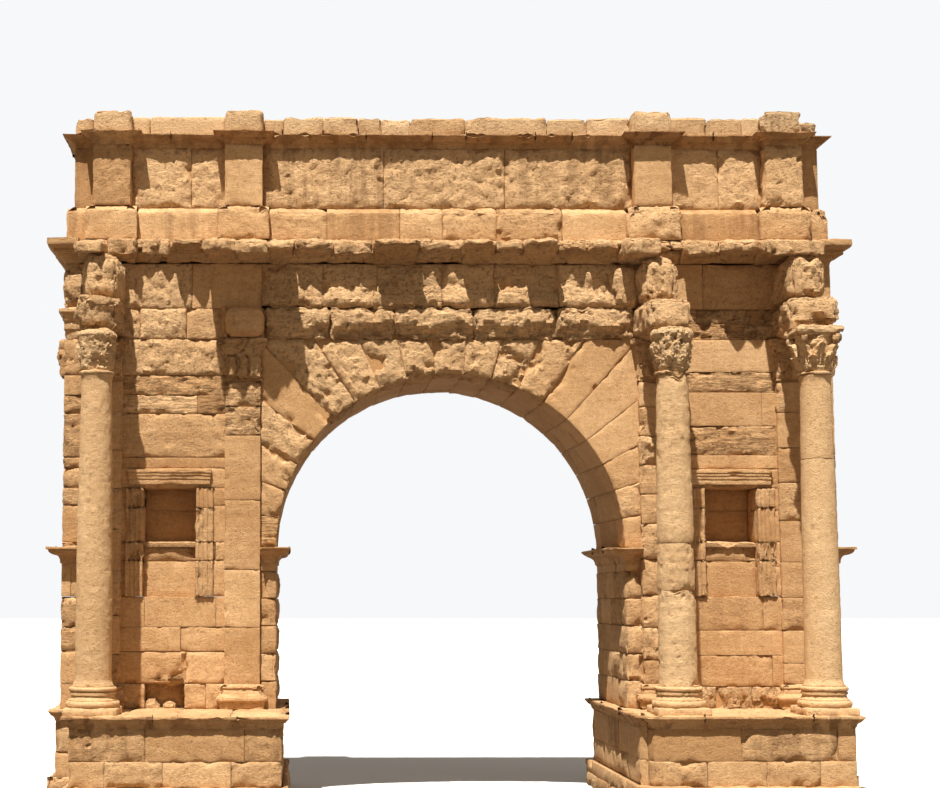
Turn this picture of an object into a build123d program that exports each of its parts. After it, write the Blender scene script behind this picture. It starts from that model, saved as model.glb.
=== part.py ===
"""Roman single-bay triumphal arch of weathered sandstone, 13.8 m long and 11.8 m high.

X runs along the front, Y from the front to the back, Z up; the origin is on the ground, under the
middle of the arch. A podium on each side carries a pier with a niche in each face. Four detached
columns stood in front of the front's flat responds; the inner left one is lost, and the blocks that
tie the others to the wall are broken. Lengths are in millimetres, angles in degrees.
"""

import os
from math import cos, radians, sin

from build123d import *

# Plan of the wall and the opening
wall_depth = 2600.0
opening_width = 5920.0
jamb_width = 275.0
column_spacing = 2360.0
wall_end_margin = 700.0

# Heights of the storeys, from the ground up
footing_height = 450.0
podium_die_height = 910.0
podium_cornice_height = 200.0
springing_height = 4280.0
architrave_bottom = 7840.0
architrave_height = 530.0
frieze_height = 780.0
cornice_height = 400.0
attic_base_height = 600.0
attic_wall_height = 1070.0
attic_cornice_height = 200.0
coping_height = 340.0

# Podiums
podium_proud = 60.0
podium_jamb_proud = 100.0
footing_step = 120.0
podium_cornice_overhang = 120.0
podium_front_margin = 70.0
column_plinth_recess = 10.0
broken_corner_reach = 560.0
broken_corner_turn = 38.0

# Columns
column_stand_off = 1150.0
column_diameter = 600.0
column_top_diameter = 500.0
column_base_height = 460.0
column_plinth_width = 860.0
column_plinth_height = 110.0
shaft_flare = 35.0
shaft_flare_rise = 70.0
shaft_entasis = 9.0
necking_height = 45.0
drum_joint_width = 14.0
drum_joint_depth = 10.0
capital_height = 740.0
abacus_width = 780.0
abacus_height = 95.0
abacus_hollow = 70.0
leaf_thickness = 45.0
scroll_radius = 66.0
scroll_width = 75.0

# Responds: the flat pilasters on the wall
respond_width = 610.0
respond_proud = 80.0
respond_foot_height = 410.0
respond_foot_spread = 70.0
respond_head_spread = 120.0
respond_leaf_proud = 60.0
end_capital_width = 560.0
end_capital_height = 660.0
end_capital_spread = 120.0

# Stones beside the passage, worn round at their edges
jamb_stone_count = 5
jamb_stone_round = 45.0

# Imposts of the arch
impost_height = 410.0
impost_overhang = 240.0

# Arch ring
voussoir_count = 19

# Niches
niche_shift = 60.0
niche_side_clearance = 130.0
niche_width = 900.0
niche_bottom = 3440.0
niche_height = 1840.0
niche_depth = 600.0
niche_fill_height = 930.0
niche_fill_set_back = 160.0
niche_jamb_proud = 50.0
niche_flute_count = 3
niche_flute_radius = 18.0
niche_lintel_height = 310.0
niche_lintel_side = 20.0
niche_lintel_overhang = 130.0

# Entablature
architrave_overhang = 110.0
architrave_block_width = 720.0
architrave_block_reach = 1290.0
architrave_stub_reach = 330.0
architrave_stub_round = 130.0
architrave_stone_count = 5
architrave_stone_depth = 400.0
architrave_stone_bulge = 110.0
open_joint = 24.0
frieze_block_width = 600.0
frieze_block_reaches = {"left_outer": 800.0, "right_inner": 520.0, "right_outer": 930.0}
boulder_radius = 170.0
cornice_overhang = 300.0
cornice_block_width = 900.0
cornice_block_overhang = 120.0
cornice_block_reaches = {
    "left_outer": 1000.0,
    "left_inner": 1150.0,
    "right_inner": 620.0,
    "right_outer": 1050.0,
}
cornice_stone_count = 9
cornice_stone_loss = 190.0

# Attic
attic_set_back = 120.0
attic_base_proud = 120.0
attic_base_chamfer = 60.0
attic_pilaster_width = 650.0
attic_pilaster_proud = 240.0
attic_outer_pilaster_shift = 90.0
attic_cornice_overhang = 200.0
pilaster_coping_rise = 80.0
pilaster_coping_depth = 840.0
coping_stone_count = 11
coping_stone_drop = 90.0
broken_coping_length = 420.0
broken_coping_drop = 190.0

# Mouldings, foot to top: the kind of each member, and its shares of the rise and of the overhang
podium_cornice_shares = [
    ("line", 0.12, 0.0),
    ("line", 0.0, 0.16),
    ("hollow", 0.43, 0.72),
    ("line", 0.0, 0.12),
    ("line", 0.45, 0.0),
]
impost_shares = [
    ("line", 0.32, 0.0),
    ("line", 0.0, 0.10),
    ("line", 0.07, 0.0),
    ("hollow", 0.27, 0.31),
    ("round", 0.22, 0.46),
    ("line", 0.0, 0.13),
    ("line", 0.12, 0.0),
]
lintel_shares = [
    ("line", 0.20, 0.0),
    ("round", 0.16, 0.23),
    ("line", 0.07, 0.0),
    ("hollow", 0.20, 0.31),
    ("line", 0.07, 0.0),
    ("round", 0.16, 0.31),
    ("line", 0.0, 0.15),
    ("line", 0.14, 0.0),
]
respond_foot_shares = [
    ("line", 0.27, 0.0),
    ("torus", 0.29, 0.0),
    ("line", 0.05, 0.28),
    ("hollow", 0.17, 0.29),
    ("torus", 0.17, 0.0),
    ("line", 0.05, 0.43),
]
respond_head_shares = [
    ("torus", 0.07, 0.0),
    ("line", 0.45, 0.17),
    ("hollow", 0.35, 0.83),
    ("line", 0.13, 0.0),
]
architrave_shares = [
    ("line", 0.28, 0.0),
    ("line", 0.0, 0.18),
    ("line", 0.30, 0.0),
    ("line", 0.0, 0.23),
    ("line", 0.21, 0.0),
    ("round", 0.11, 0.59),
    ("line", 0.10, 0.0),
]
cornice_shares = [
    ("hollow", 0.27, 0.35),
    ("line", 0.10, 0.0),
    ("line", 0.0, 0.25),
    ("line", 0.18, 0.0),
    ("round", 0.23, 0.40),
    ("line", 0.22, 0.0),
]
attic_base_shares = [("line", 0.85, 0.0), ("line", 0.15, 1.0)]
attic_cornice_shares = [
    ("line", 0.15, 0.0),
    ("hollow", 0.35, 0.4),
    ("line", 0.15, 0.0),
    ("round", 0.25, 0.6),
    ("line", 0.10, 0.0),
]

# Places worked out from the sizes above
half_opening = opening_width / 2
fan_half_width = half_opening + jamb_width
inner_column_x = fan_half_width + respond_width / 2
outer_column_x = inner_column_x + column_spacing
half_length = outer_column_x + wall_end_margin
niche_x = (inner_column_x + outer_column_x) / 2 + niche_shift
niche_jamb_width = (column_spacing - respond_width - niche_width) / 2 - niche_side_clearance
niche_top = niche_bottom + niche_height
column_sites = {
    "left_outer": -outer_column_x,
    "left_inner": -inner_column_x,
    "right_inner": inner_column_x,
    "right_outer": outer_column_x,
}
standing_columns = ["left_outer", "right_inner", "right_outer"]
architrave_stones_end = inner_column_x - architrave_block_width / 2

podium_cornice_bottom = footing_height + podium_die_height
podium_height = podium_cornice_bottom + podium_cornice_height
shaft_bottom = podium_height + column_base_height
capital_bottom = architrave_bottom - capital_height
impost_bottom = springing_height - impost_height
architrave_top = architrave_bottom + architrave_height
frieze_top = architrave_top + frieze_height
cornice_top = frieze_top + cornice_height
attic_base_top = cornice_top + attic_base_height
attic_wall_top = attic_base_top + attic_wall_height
attic_cornice_top = attic_wall_top + attic_cornice_height
coping_top = attic_cornice_top + coping_height

podium_front_reach = column_stand_off + column_plinth_width / 2 + podium_front_margin
front_reach = podium_front_reach + max(footing_step, podium_cornice_overhang)
attic_cornice_reach = attic_pilaster_proud + attic_cornice_overhang - attic_set_back
back_reach = max(cornice_overhang, attic_cornice_reach, podium_proud + footing_step)
wall_middle_y = (front_reach - back_reach) / 2
wall_front = wall_middle_y - wall_depth / 2
wall_back = wall_middle_y + wall_depth / 2
column_y = wall_front - column_stand_off

podium_inner = half_opening - podium_jamb_proud
podium_outer = half_length + podium_proud
podium_front = wall_front - podium_front_reach
podium_wall_front = wall_front - podium_proud
podium_back = wall_back + podium_proud
podium_front_end = (
    outer_column_x + column_plinth_width / 2 + column_plinth_recess - podium_cornice_overhang
)

attic_half_length = half_length - attic_set_back
attic_front = wall_front + attic_set_back
attic_back = wall_back - attic_set_back
attic_pilaster_sites = [
    -outer_column_x + attic_outer_pilaster_shift,
    -inner_column_x,
    inner_column_x,
    outer_column_x - attic_outer_pilaster_shift,
]

# Longer than anything here, for cutters that reach right out of a piece
well_past = 2 * half_length


# Building blocks

def block(x_range, y_range, z_range):
    """A plain squared stone or mass of masonry between three pairs of planes."""
    (x0, x1), (y0, y1), (z0, z1) = x_range, y_range, z_range
    middle = Pos((x0 + x1) / 2, (y0 + y1) / 2, (z0 + z1) / 2)
    return middle * Box(abs(x1 - x0), abs(y1 - y0), abs(z1 - z0))


def mirrored_x(x_range, side):
    """The same stretch on the left (-1) or the right (+1) half."""
    return tuple(sorted((side * x_range[0], side * x_range[1])))


def before_wall(z_range):
    """All the space in front of the wall's front face, between two heights."""
    return block((-well_past, well_past), (wall_front - well_past, wall_front), z_range)


def on_back(shape):
    """A piece of the front turned onto the back face."""
    return shape.mirror(Plane.XZ.offset(-wall_middle_y))


def wear(index):
    """A repeatable share between 0 and 1 that differs from stone to stone."""
    return (sin(index * 12.9898) * 43758.5453) % 1.0


def moulding_edges(shares, height, overhang, start_out, start_z):
    """The edges of a moulding's outline, foot to top."""
    edges = []
    out, z = start_out, start_z
    diagonal = sin(radians(45))
    for kind, rise_share, run_share in shares:
        rise, run = rise_share * height, run_share * overhang
        end = (out + run, z + rise)
        if kind == "hollow":
            middle = (out + run * (1 - diagonal), z + rise * diagonal)
            edges.append(ThreePointArc((out, z), middle, end))
        elif kind == "round":
            middle = (out + run * diagonal, z + rise * (1 - diagonal))
            edges.append(ThreePointArc((out, z), middle, end))
        elif kind == "torus":
            edges.append(ThreePointArc((out, z), (out + rise / 2, z + rise / 2), end))
        else:
            edges.append(Line((out, z), end))
        out, z = end
    return edges, out, z


def moulding_section(half_span, shares, height, overhang, foot_z):
    """The section of a moulded course between two like faces."""
    edges, out, z = moulding_edges(shares, height, overhang, half_span, foot_z)
    right = Wire(edges)
    left = right.mirror(Plane.YZ)
    foot = Line((-half_span, foot_z), (half_span, foot_z))
    head = Line((-out, z), (out, z))
    return make_face(Wire([foot, *right.edges(), head, *left.edges()]))


def moulded_block(x_range, y_range, foot_z, shares, height, overhang):
    """A course whose moulding runs round all four faces, mitred at the corners."""
    (x0, x1), (y0, y1) = x_range, y_range
    length, depth = abs(x1 - x0), abs(y1 - y0)
    middle = Pos((x0 + x1) / 2, (y0 + y1) / 2, 0)
    across = moulding_section(depth / 2, shares, height, overhang, foot_z)
    along = moulding_section(length / 2, shares, height, overhang, foot_z)
    one_way = extrude(Plane.YZ * across, length / 2 + depth, both=True)
    other_way = extrude(Plane.XZ * along, length + depth / 2, both=True)
    return middle * (one_way & other_way)


def rounded_front(stone, radius):
    """Rounds the four edges of a stone's front face."""
    return fillet(stone.faces().sort_by(Axis.Y)[0].edges(), radius)


def save(name, shape):
    """Writes one piece, under the name of its node."""
    export_step(shape, f"parts/{name}.step")


def group(shapes):
    """Like pieces that share a node and don't touch."""
    return Compound(children=list(shapes))


# Podiums

def podium_plan(side, grow, z_range):
    """A layer of the podium: under the pier and, stepped forward, under the columns."""
    wall_part = block(
        mirrored_x((podium_inner - grow, podium_outer + grow), side),
        (podium_wall_front - grow, podium_back + grow),
        z_range,
    )
    front_part = block(
        mirrored_x((podium_inner - grow, podium_front_end + grow), side),
        (podium_front - grow, podium_wall_front + grow),
        z_range,
    )
    return wall_part + front_part


def podium_cornice(side):
    wall_part = moulded_block(
        mirrored_x((podium_inner, podium_outer), side),
        (podium_wall_front, podium_back),
        podium_cornice_bottom,
        podium_cornice_shares,
        podium_cornice_height,
        podium_cornice_overhang,
    )
    front_part = moulded_block(
        mirrored_x((podium_inner, podium_front_end), side),
        (podium_front, podium_back),
        podium_cornice_bottom,
        podium_cornice_shares,
        podium_cornice_height,
        podium_cornice_overhang,
    )
    return wall_part + front_part


def broken_corner():
    """What is lost from the right podium at the front corner of the passage."""
    corner = Pos(podium_inner, podium_front, footing_height + podium_height / 2)
    wedge = Box(2 * broken_corner_reach, 4 * broken_corner_reach, podium_height)
    past_corner = Pos(-0.62 * broken_corner_reach, 0, 0)
    return corner * Rot(0, 0, broken_corner_turn) * past_corner * wedge


# Piers

def jamb_stones(side):
    """The stones of the pier beside the passage, a course at a time."""
    rise = (impost_bottom - podium_height) / jamb_stone_count
    stones = []
    for index in range(jamb_stone_count):
        foot = podium_height + index * rise
        stone = block(
            mirrored_x((half_opening, inner_column_x), side),
            (wall_front, wall_back),
            (foot, foot + rise),
        )
        passage_face = stone.faces().sort_by(Axis.X)[0 if side > 0 else -1]
        stones.append(fillet(passage_face.edges(), jamb_stone_round))
    return stones


def pier(side):
    """The pier's masonry, with a niche in each face and a ledge for the foot of the arch."""
    wall = block(
        mirrored_x((fan_half_width, half_length), side),
        (wall_front, wall_back),
        (podium_height, architrave_bottom),
    )
    niche = block(
        mirrored_x((niche_x - niche_width / 2, niche_x + niche_width / 2), side),
        (wall_front - niche_depth, wall_front + niche_depth),
        (niche_bottom, niche_top),
    )
    return wall.fuse(*jamb_stones(side)) - niche - on_back(niche)


def passage_impost(side):
    """The springing course of the arch, moulded to the passage, the front and the back."""
    course = moulded_block(
        mirrored_x((half_opening, inner_column_x), side),
        (wall_front, wall_back),
        impost_bottom,
        impost_shares,
        impost_height,
        impost_overhang,
    )
    return course & block(
        mirrored_x((0, fan_half_width), side),
        (-well_past, well_past),
        (impost_bottom, springing_height),
    )


def outer_impost(side):
    """The same moulding round the outer end of the pier, stopped by the outer responds."""
    course = moulded_block(
        mirrored_x((niche_x, half_length), side),
        (wall_front, wall_back),
        impost_bottom,
        impost_shares,
        impost_height,
        impost_overhang,
    )
    kept = course & block(
        mirrored_x((outer_column_x + respond_width / 2, well_past), side),
        (-well_past, well_past),
        (impost_bottom, springing_height),
    )
    return kept - block(
        mirrored_x((0, half_length), side), (wall_front, wall_back), (0, architrave_bottom)
    )


# The arch ring: long radiating stones from the vault out to the architrave and the responds

def voussoir(index):
    """Stone number index of the fan, counted from the left springing."""
    step = 180.0 / voussoir_count
    first = radians(180.0 - index * step)
    last = radians(180.0 - (index + 1) * step)
    reach = well_past
    corners = [
        (0.0, 0.0),
        (reach * cos(first), reach * sin(first)),
        (reach * cos(last), reach * sin(last)),
    ]
    centre = Pos(0, wall_middle_y, springing_height)
    wedge = extrude(
        Plane.XZ * make_face(Polyline(*corners, close=True)), wall_depth / 2, both=True
    )
    spandrel = block(
        (-fan_half_width, fan_half_width),
        (wall_front, wall_back),
        (springing_height, architrave_bottom),
    )
    vault = Rot(90, 0, 0) * Cylinder(half_opening, 2 * wall_depth)
    return (centre * wedge & spandrel) - centre * vault


# Niche frames

def niche_lintel(side):
    """The moulded stone over a niche."""
    half_span = niche_width / 2 + niche_jamb_width + niche_lintel_side - niche_lintel_overhang
    course = moulded_block(
        mirrored_x((niche_x - half_span, niche_x + half_span), side),
        (wall_front, wall_back),
        niche_top,
        lintel_shares,
        niche_lintel_height,
        niche_lintel_overhang,
    )
    return course & before_wall((niche_top, niche_top + niche_lintel_height))


def niche_jamb(side, hand):
    """One of the two fluted strips beside a niche."""
    near = niche_x + hand * niche_width / 2
    far = near + hand * niche_jamb_width
    strip = block(
        mirrored_x((near, far), side),
        (wall_front - niche_jamb_proud, wall_front),
        (niche_bottom, niche_top),
    )
    for flute in range(niche_flute_count):
        share = (flute + 1) / (niche_flute_count + 1)
        place = Pos(
            side * (near + (far - near) * share), wall_front - niche_jamb_proud, niche_bottom
        )
        strip -= place * Cylinder(niche_flute_radius, 2 * niche_height)
    return strip


def niche_fill(side):
    """The stones that close the lower part of a niche."""
    return block(
        mirrored_x((niche_x - niche_width / 2, niche_x + niche_width / 2), side),
        (wall_front + niche_fill_set_back, wall_front + niche_depth),
        (niche_bottom, niche_bottom + niche_fill_height),
    )


# Columns

def column_base():
    """Attic base, standing on the origin: square plinth, two tori and the hollow between."""
    plinth = Pos(0, 0, column_plinth_height / 2) * Box(
        column_plinth_width, column_plinth_width, column_plinth_height
    )
    round_height = column_base_height - column_plinth_height
    shaft_foot = column_diameter / 2 + shaft_flare
    lower_torus, hollow, upper_torus = 0.37 * round_height, 0.26 * round_height, 0.23 * round_height
    fillet_rise = (round_height - lower_torus - hollow - upper_torus) / 2
    lower_out = column_plinth_width / 2 - lower_torus / 2
    upper_out = shaft_foot + 0.1 * upper_torus
    z = column_plinth_height
    outline = [
        Line((0, z), (lower_out, z)),
        ThreePointArc(
            (lower_out, z),
            (lower_out + lower_torus / 2, z + lower_torus / 2),
            (lower_out, z + lower_torus),
        ),
        Line((lower_out, z + lower_torus), (lower_out, z + lower_torus + fillet_rise)),
    ]
    z += lower_torus + fillet_rise
    hollow_in = upper_out - 0.2 * hollow
    outline.append(
        ThreePointArc((lower_out, z), (hollow_in, z + hollow * 0.55), (upper_out, z + hollow))
    )
    z += hollow
    outline.append(
        ThreePointArc(
            (upper_out, z),
            (upper_out + upper_torus / 2, z + upper_torus / 2),
            (upper_out, z + upper_torus),
        )
    )
    z += upper_torus
    outline += [
        Line((upper_out, z), (upper_out, column_base_height)),
        Line((upper_out, column_base_height), (0, column_base_height)),
        Line((0, column_base_height), (0, column_plinth_height)),
    ]
    return plinth + revolve(Plane.XZ * make_face(Wire(outline)), Axis.Z)


def column_shaft(drum_shares):
    """A shaft on the origin with entasis, flared ends, a necking ring and open drum joints."""
    height = capital_bottom - shaft_bottom
    foot, head = column_diameter / 2, column_top_diameter / 2
    ring_z = height - necking_height
    swell = ((foot + head) / 2 + shaft_entasis, height / 2)
    outline = [
        Line((0, 0), (foot + shaft_flare, 0)),
        ThreePointArc(
            (foot + shaft_flare, 0),
            (foot + shaft_flare * 0.3, shaft_flare_rise * 0.45),
            (foot, shaft_flare_rise),
        ),
        ThreePointArc((foot, shaft_flare_rise), swell, (head, ring_z - shaft_flare_rise)),
        ThreePointArc(
            (head, ring_z - shaft_flare_rise),
            (head + shaft_flare * 0.3, ring_z - shaft_flare_rise * 0.45),
            (head + shaft_flare, ring_z),
        ),
        Line((head + shaft_flare, ring_z), (head + shaft_flare, height)),
        Line((head + shaft_flare, height), (0, height)),
        Line((0, height), (0, 0)),
    ]
    shaft = revolve(Plane.XZ * make_face(Wire(outline)), Axis.Z)
    for share in drum_shares:
        core = Cylinder((foot + head) / 2 - drum_joint_depth, 2 * drum_joint_width)
        ring = Cylinder(foot + shaft_flare, drum_joint_width) - core
        shaft -= Pos(0, 0, height * share) * ring
    return shaft


def leaf(height, foot_radius, lean, sweep):
    """One acanthus leaf: a turned slice that leans out and curls over, narrowed to its tip."""
    root = foot_radius - 1.5 * leaf_thickness
    middle = foot_radius + leaf_thickness + 0.15 * lean
    tip = foot_radius + leaf_thickness + lean
    section = make_face(
        Polyline(
            (root, 0),
            (foot_radius + 0.7 * leaf_thickness, 0),
            (middle, 0.55 * height),
            (tip, 0.88 * height),
            (tip - 0.2 * leaf_thickness, height),
            (tip - 1.2 * leaf_thickness, 0.92 * height),
            (root, 0.7 * height),
            close=True,
        )
    )
    turned = Rot(0, 0, -sweep / 2) * revolve(Plane.XZ * section, Axis.Z, sweep)
    half = tip * sin(radians(sweep / 2))
    outline = make_face(
        Polyline(
            (-0.75 * half, 0),
            (0.75 * half, 0),
            (half, 0.45 * height),
            (0.62 * half, 0.85 * height),
            (0, 1.04 * height),
            (-0.62 * half, 0.85 * height),
            (-half, 0.45 * height),
            close=True,
        )
    )
    return turned & extrude(Plane.YZ * outline, 2 * tip)


def corner_scroll(neck, bell_height):
    """A scroll under a corner of the abacus, on the stalk that carries it out."""
    middle = 0.57 * abacus_width
    low = neck - leaf_thickness
    outline = [
        Line((low, 0.5 * bell_height), (middle, bell_height - 2 * scroll_radius)),
        ThreePointArc(
            (middle, bell_height - 2 * scroll_radius),
            (middle + scroll_radius, bell_height - scroll_radius),
            (middle, bell_height),
        ),
        Line((middle, bell_height), (low, bell_height)),
        Line((low, bell_height), (low, 0.5 * bell_height)),
    ]
    return extrude(Plane.XZ * make_face(Wire(outline)), scroll_width / 2, both=True)


def abacus(bell_height):
    """The square top slab of a capital, its four sides hollowed."""
    half = abacus_width / 2
    hollow_radius = (half**2 + abacus_hollow**2) / (2 * abacus_hollow)
    middle_z = bell_height + abacus_height / 2
    slab = Pos(0, 0, middle_z) * Box(abacus_width, abacus_width, abacus_height)
    cut = Pos(half + hollow_radius - abacus_hollow, 0, middle_z) * Cylinder(
        hollow_radius, 2 * abacus_height
    )
    for turn in range(4):
        slab -= Rot(0, 0, 90.0 * turn) * cut
    return slab


def capital():
    """Corinthian capital on the origin: bell, two rows of leaves, scrolls and abacus."""
    neck, lip = 0.94 * column_top_diameter / 2, 1.24 * column_top_diameter / 2
    bell_height = capital_height - abacus_height
    bell_section = make_face(
        Wire(
            [
                Line((0, 0), (neck, 0)),
                ThreePointArc((neck, 0), (1.05 * neck, 0.6 * bell_height), (lip, bell_height)),
                Line((lip, bell_height), (0, bell_height)),
                Line((0, bell_height), (0, 0)),
            ]
        )
    )
    bell = revolve(Plane.XZ * bell_section, Axis.Z)
    lower = leaf(0.44 * bell_height, neck, 0.24 * neck, 40.0)
    upper = leaf(0.76 * bell_height, neck, 0.36 * neck, 34.0)
    corner = corner_scroll(neck, bell_height)
    carving = [Rot(0, 0, 45.0 * turn) * lower for turn in range(8)]
    carving += [Rot(0, 0, 45.0 * turn + 22.5) * upper for turn in range(8)]
    carving += [Rot(0, 0, 45.0 + 90.0 * turn) * corner for turn in range(4)]
    return (bell + abacus(bell_height)).fuse(*carving)


def worn_round(shape, top_share):
    """A capital weathered to a lump: only what lies in a rounded hull of it is left."""
    radius = abacus_width / 2
    foot = column_top_diameter / 2 + shaft_flare
    outline = [
        Line((0, 0), (foot, 0)),
        ThreePointArc(
            (foot, 0), (radius, 0.55 * capital_height), (0.45 * radius, top_share * capital_height)
        ),
        Line((0.45 * radius, top_share * capital_height), (0, top_share * capital_height)),
        Line((0, top_share * capital_height), (0, 0)),
    ]
    hull = revolve(Plane.XZ * make_face(Wire(outline)), Axis.Z)
    return shape & hull


# Responds

def respond_span(x, spread):
    half = respond_width / 2 + spread
    return (x - half, x + half)


def respond_strip(x):
    return block(
        respond_span(x, 0),
        (wall_front - respond_proud, wall_front),
        (podium_height + respond_foot_height, capital_bottom),
    )


def respond_foot(x):
    """The moulded foot of a respond, spread wider than its strip."""
    foot = moulded_block(
        respond_span(x, respond_foot_spread),
        (wall_front - respond_proud - respond_foot_spread, wall_back),
        podium_height,
        respond_foot_shares,
        respond_foot_height,
        -respond_foot_spread,
    )
    return foot & before_wall((podium_height, architrave_bottom))


def respond_head(x):
    """The flat capital of a respond: necking, leaning bell with three leaves, and abacus."""
    head = moulded_block(
        respond_span(x, 0),
        (wall_front - respond_proud, wall_back),
        capital_bottom,
        respond_head_shares,
        capital_height,
        respond_head_spread,
    )
    head = head & before_wall((capital_bottom, architrave_bottom))
    leaf_width = respond_width / 3
    bottom = capital_bottom + 0.07 * capital_height
    for step in (-1, 0, 1):
        middle = x + step * leaf_width
        outline = Polyline(
            (middle - 0.4 * leaf_width, bottom),
            (middle + 0.4 * leaf_width, bottom),
            (middle + 0.45 * leaf_width, bottom + 0.35 * capital_height),
            (middle, bottom + 0.52 * capital_height),
            (middle - 0.45 * leaf_width, bottom + 0.35 * capital_height),
            close=True,
        )
        plate = extrude(Plane.XZ * make_face(outline), respond_proud + respond_leaf_proud)
        head += Pos(0, wall_front, 0) * plate
    return head


def end_capital(side, near_back):
    """The capital of a corner pilaster on the end face of a pier."""
    foot_z = architrave_bottom - end_capital_height
    face = wall_back if near_back else wall_front
    inward = -end_capital_width if near_back else end_capital_width
    course = moulded_block(
        mirrored_x((inner_column_x, half_length), side),
        tuple(sorted((face, face + inward))),
        foot_z,
        respond_head_shares,
        end_capital_height,
        end_capital_spread,
    )
    return course & block(
        mirrored_x((half_length, well_past), side),
        (wall_front, wall_back),
        (foot_z, architrave_bottom),
    )


# Entablature

def architrave():
    """The three-stepped course round the wall; of its front only the corners are left."""
    course = moulded_block(
        (-half_length, half_length),
        (wall_front, wall_back),
        architrave_bottom,
        architrave_shares,
        architrave_height,
        architrave_overhang,
    )
    lost_end = outer_column_x + architrave_block_width / 2
    lost_front = block(
        (-lost_end, lost_end), (wall_front - well_past, wall_front), (0, architrave_top)
    )
    bed = block(
        (-architrave_stones_end, architrave_stones_end),
        (wall_front - well_past, wall_front + architrave_stone_depth),
        (0, architrave_top),
    )
    return course - lost_front - bed


def architrave_stone(index):
    """One bulging broken stone of the architrave over the arch."""
    length = 2 * architrave_stones_end / architrave_stone_count
    start = -architrave_stones_end + index * length
    bulge = architrave_stone_bulge * (0.7 + 0.5 * wear(index))
    stone = block(
        (start + open_joint / 2, start + length - open_joint / 2),
        (wall_front - bulge, wall_front + architrave_stone_depth),
        (architrave_bottom, architrave_top),
    )
    return rounded_front(stone, 0.95 * bulge)


def architrave_block(name):
    """The architrave over a standing column, its front broken off at two slants."""
    x = column_sites[name]
    side = 1 if x > 0 else -1
    stone = block(
        (x - architrave_block_width / 2, x + architrave_block_width / 2),
        (wall_front - architrave_block_reach, wall_front),
        (architrave_bottom, architrave_top),
    )
    front = Vector(x, wall_front - 0.94 * architrave_block_reach, architrave_bottom)
    upper = Vector(0, -1, 0).rotate(Axis.X, -14.0).rotate(Axis.Z, 12.0 * side)
    lower = Vector(0, -1, 0).rotate(Axis.X, 10.0).rotate(Axis.Z, -24.0 * side)
    for normal in (upper, lower):
        stone = split(stone, bisect_by=Plane(origin=front, z_dir=normal), keep=Keep.BOTTOM)
    return stone


def architrave_stub():
    """What is left of the architrave over the lost column: a rounded stump on the wall."""
    x = column_sites["left_inner"]
    stub = block(
        (x - architrave_block_width / 2, x + architrave_block_width / 2),
        (wall_front - architrave_stub_reach, wall_front),
        (architrave_bottom, architrave_top),
    )
    return rounded_front(stub, architrave_stub_round)


def frieze():
    return block((-half_length, half_length), (wall_front, wall_back), (architrave_top, frieze_top))


def frieze_block(name):
    """A frieze stone over a column, weathered round like a boulder."""
    x = column_sites[name]
    stone = block(
        (x - frieze_block_width / 2, x + frieze_block_width / 2),
        (wall_front - frieze_block_reaches[name], wall_front),
        (architrave_top, frieze_top),
    )
    return rounded_front(stone, boulder_radius)


def cornice():
    """The main cornice, stepped forward over the columns and broken back along the front."""
    course = moulded_block(
        (-half_length, half_length),
        (wall_front, wall_back),
        frieze_top,
        cornice_shares,
        cornice_height,
        cornice_overhang,
    )
    stretch = 2 * outer_column_x / cornice_stone_count
    edge = wall_front - cornice_overhang
    for index in range(cornice_stone_count):
        start = -outer_column_x + index * stretch
        loss = cornice_stone_loss * wear(index + 7)
        course -= block((start, start + stretch), (edge - well_past, edge + loss), (0, coping_top))
    for name, x in column_sites.items():
        half = cornice_block_width / 2 - cornice_block_overhang
        reach = cornice_block_reaches[name] - cornice_block_overhang
        course += moulded_block(
            (x - half, x + half),
            (wall_front - reach, wall_back),
            frieze_top,
            cornice_shares,
            cornice_height,
            cornice_block_overhang,
        )
    return course


# Attic

def attic_band(foot_z, shares, height, wall_proud, overhang):
    """A course of the attic, stepped forward over the pilasters on both faces."""
    course = moulded_block(
        (-attic_half_length - wall_proud, attic_half_length + wall_proud),
        (attic_front - wall_proud, attic_back + wall_proud),
        foot_z,
        shares,
        height,
        overhang,
    )
    reach = attic_pilaster_proud + max(wall_proud + min(overhang, 0), 0)
    half = attic_pilaster_width / 2 + wall_proud
    for x in attic_pilaster_sites:
        course += moulded_block(
            (x - half, x + half),
            (attic_front - reach, attic_back + reach),
            foot_z,
            shares,
            height,
            overhang,
        )
    return course


def attic_base():
    return attic_band(
        cornice_top, attic_base_shares, attic_base_height, attic_base_proud, -attic_base_chamfer
    )


def attic_wall():
    return block(
        (-attic_half_length, attic_half_length),
        (attic_front, attic_back),
        (attic_base_top, attic_wall_top),
    )


def attic_cornice():
    return attic_band(
        attic_wall_top, attic_cornice_shares, attic_cornice_height, 0, attic_cornice_overhang
    )


def before_attic(x, z_range):
    """A stone that stands out from the attic's front at a pilaster."""
    half = attic_pilaster_width / 2
    return block((x - half, x + half), (attic_front - attic_pilaster_proud, attic_front), z_range)


def pilaster_coping(x):
    """The taller stone over a pilaster, let into the course on top."""
    front_face = attic_front - attic_pilaster_proud
    half = attic_pilaster_width / 2
    return block(
        (x - half, x + half),
        (front_face, front_face + pilaster_coping_depth),
        (attic_cornice_top, coping_top + pilaster_coping_rise),
    )


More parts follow.
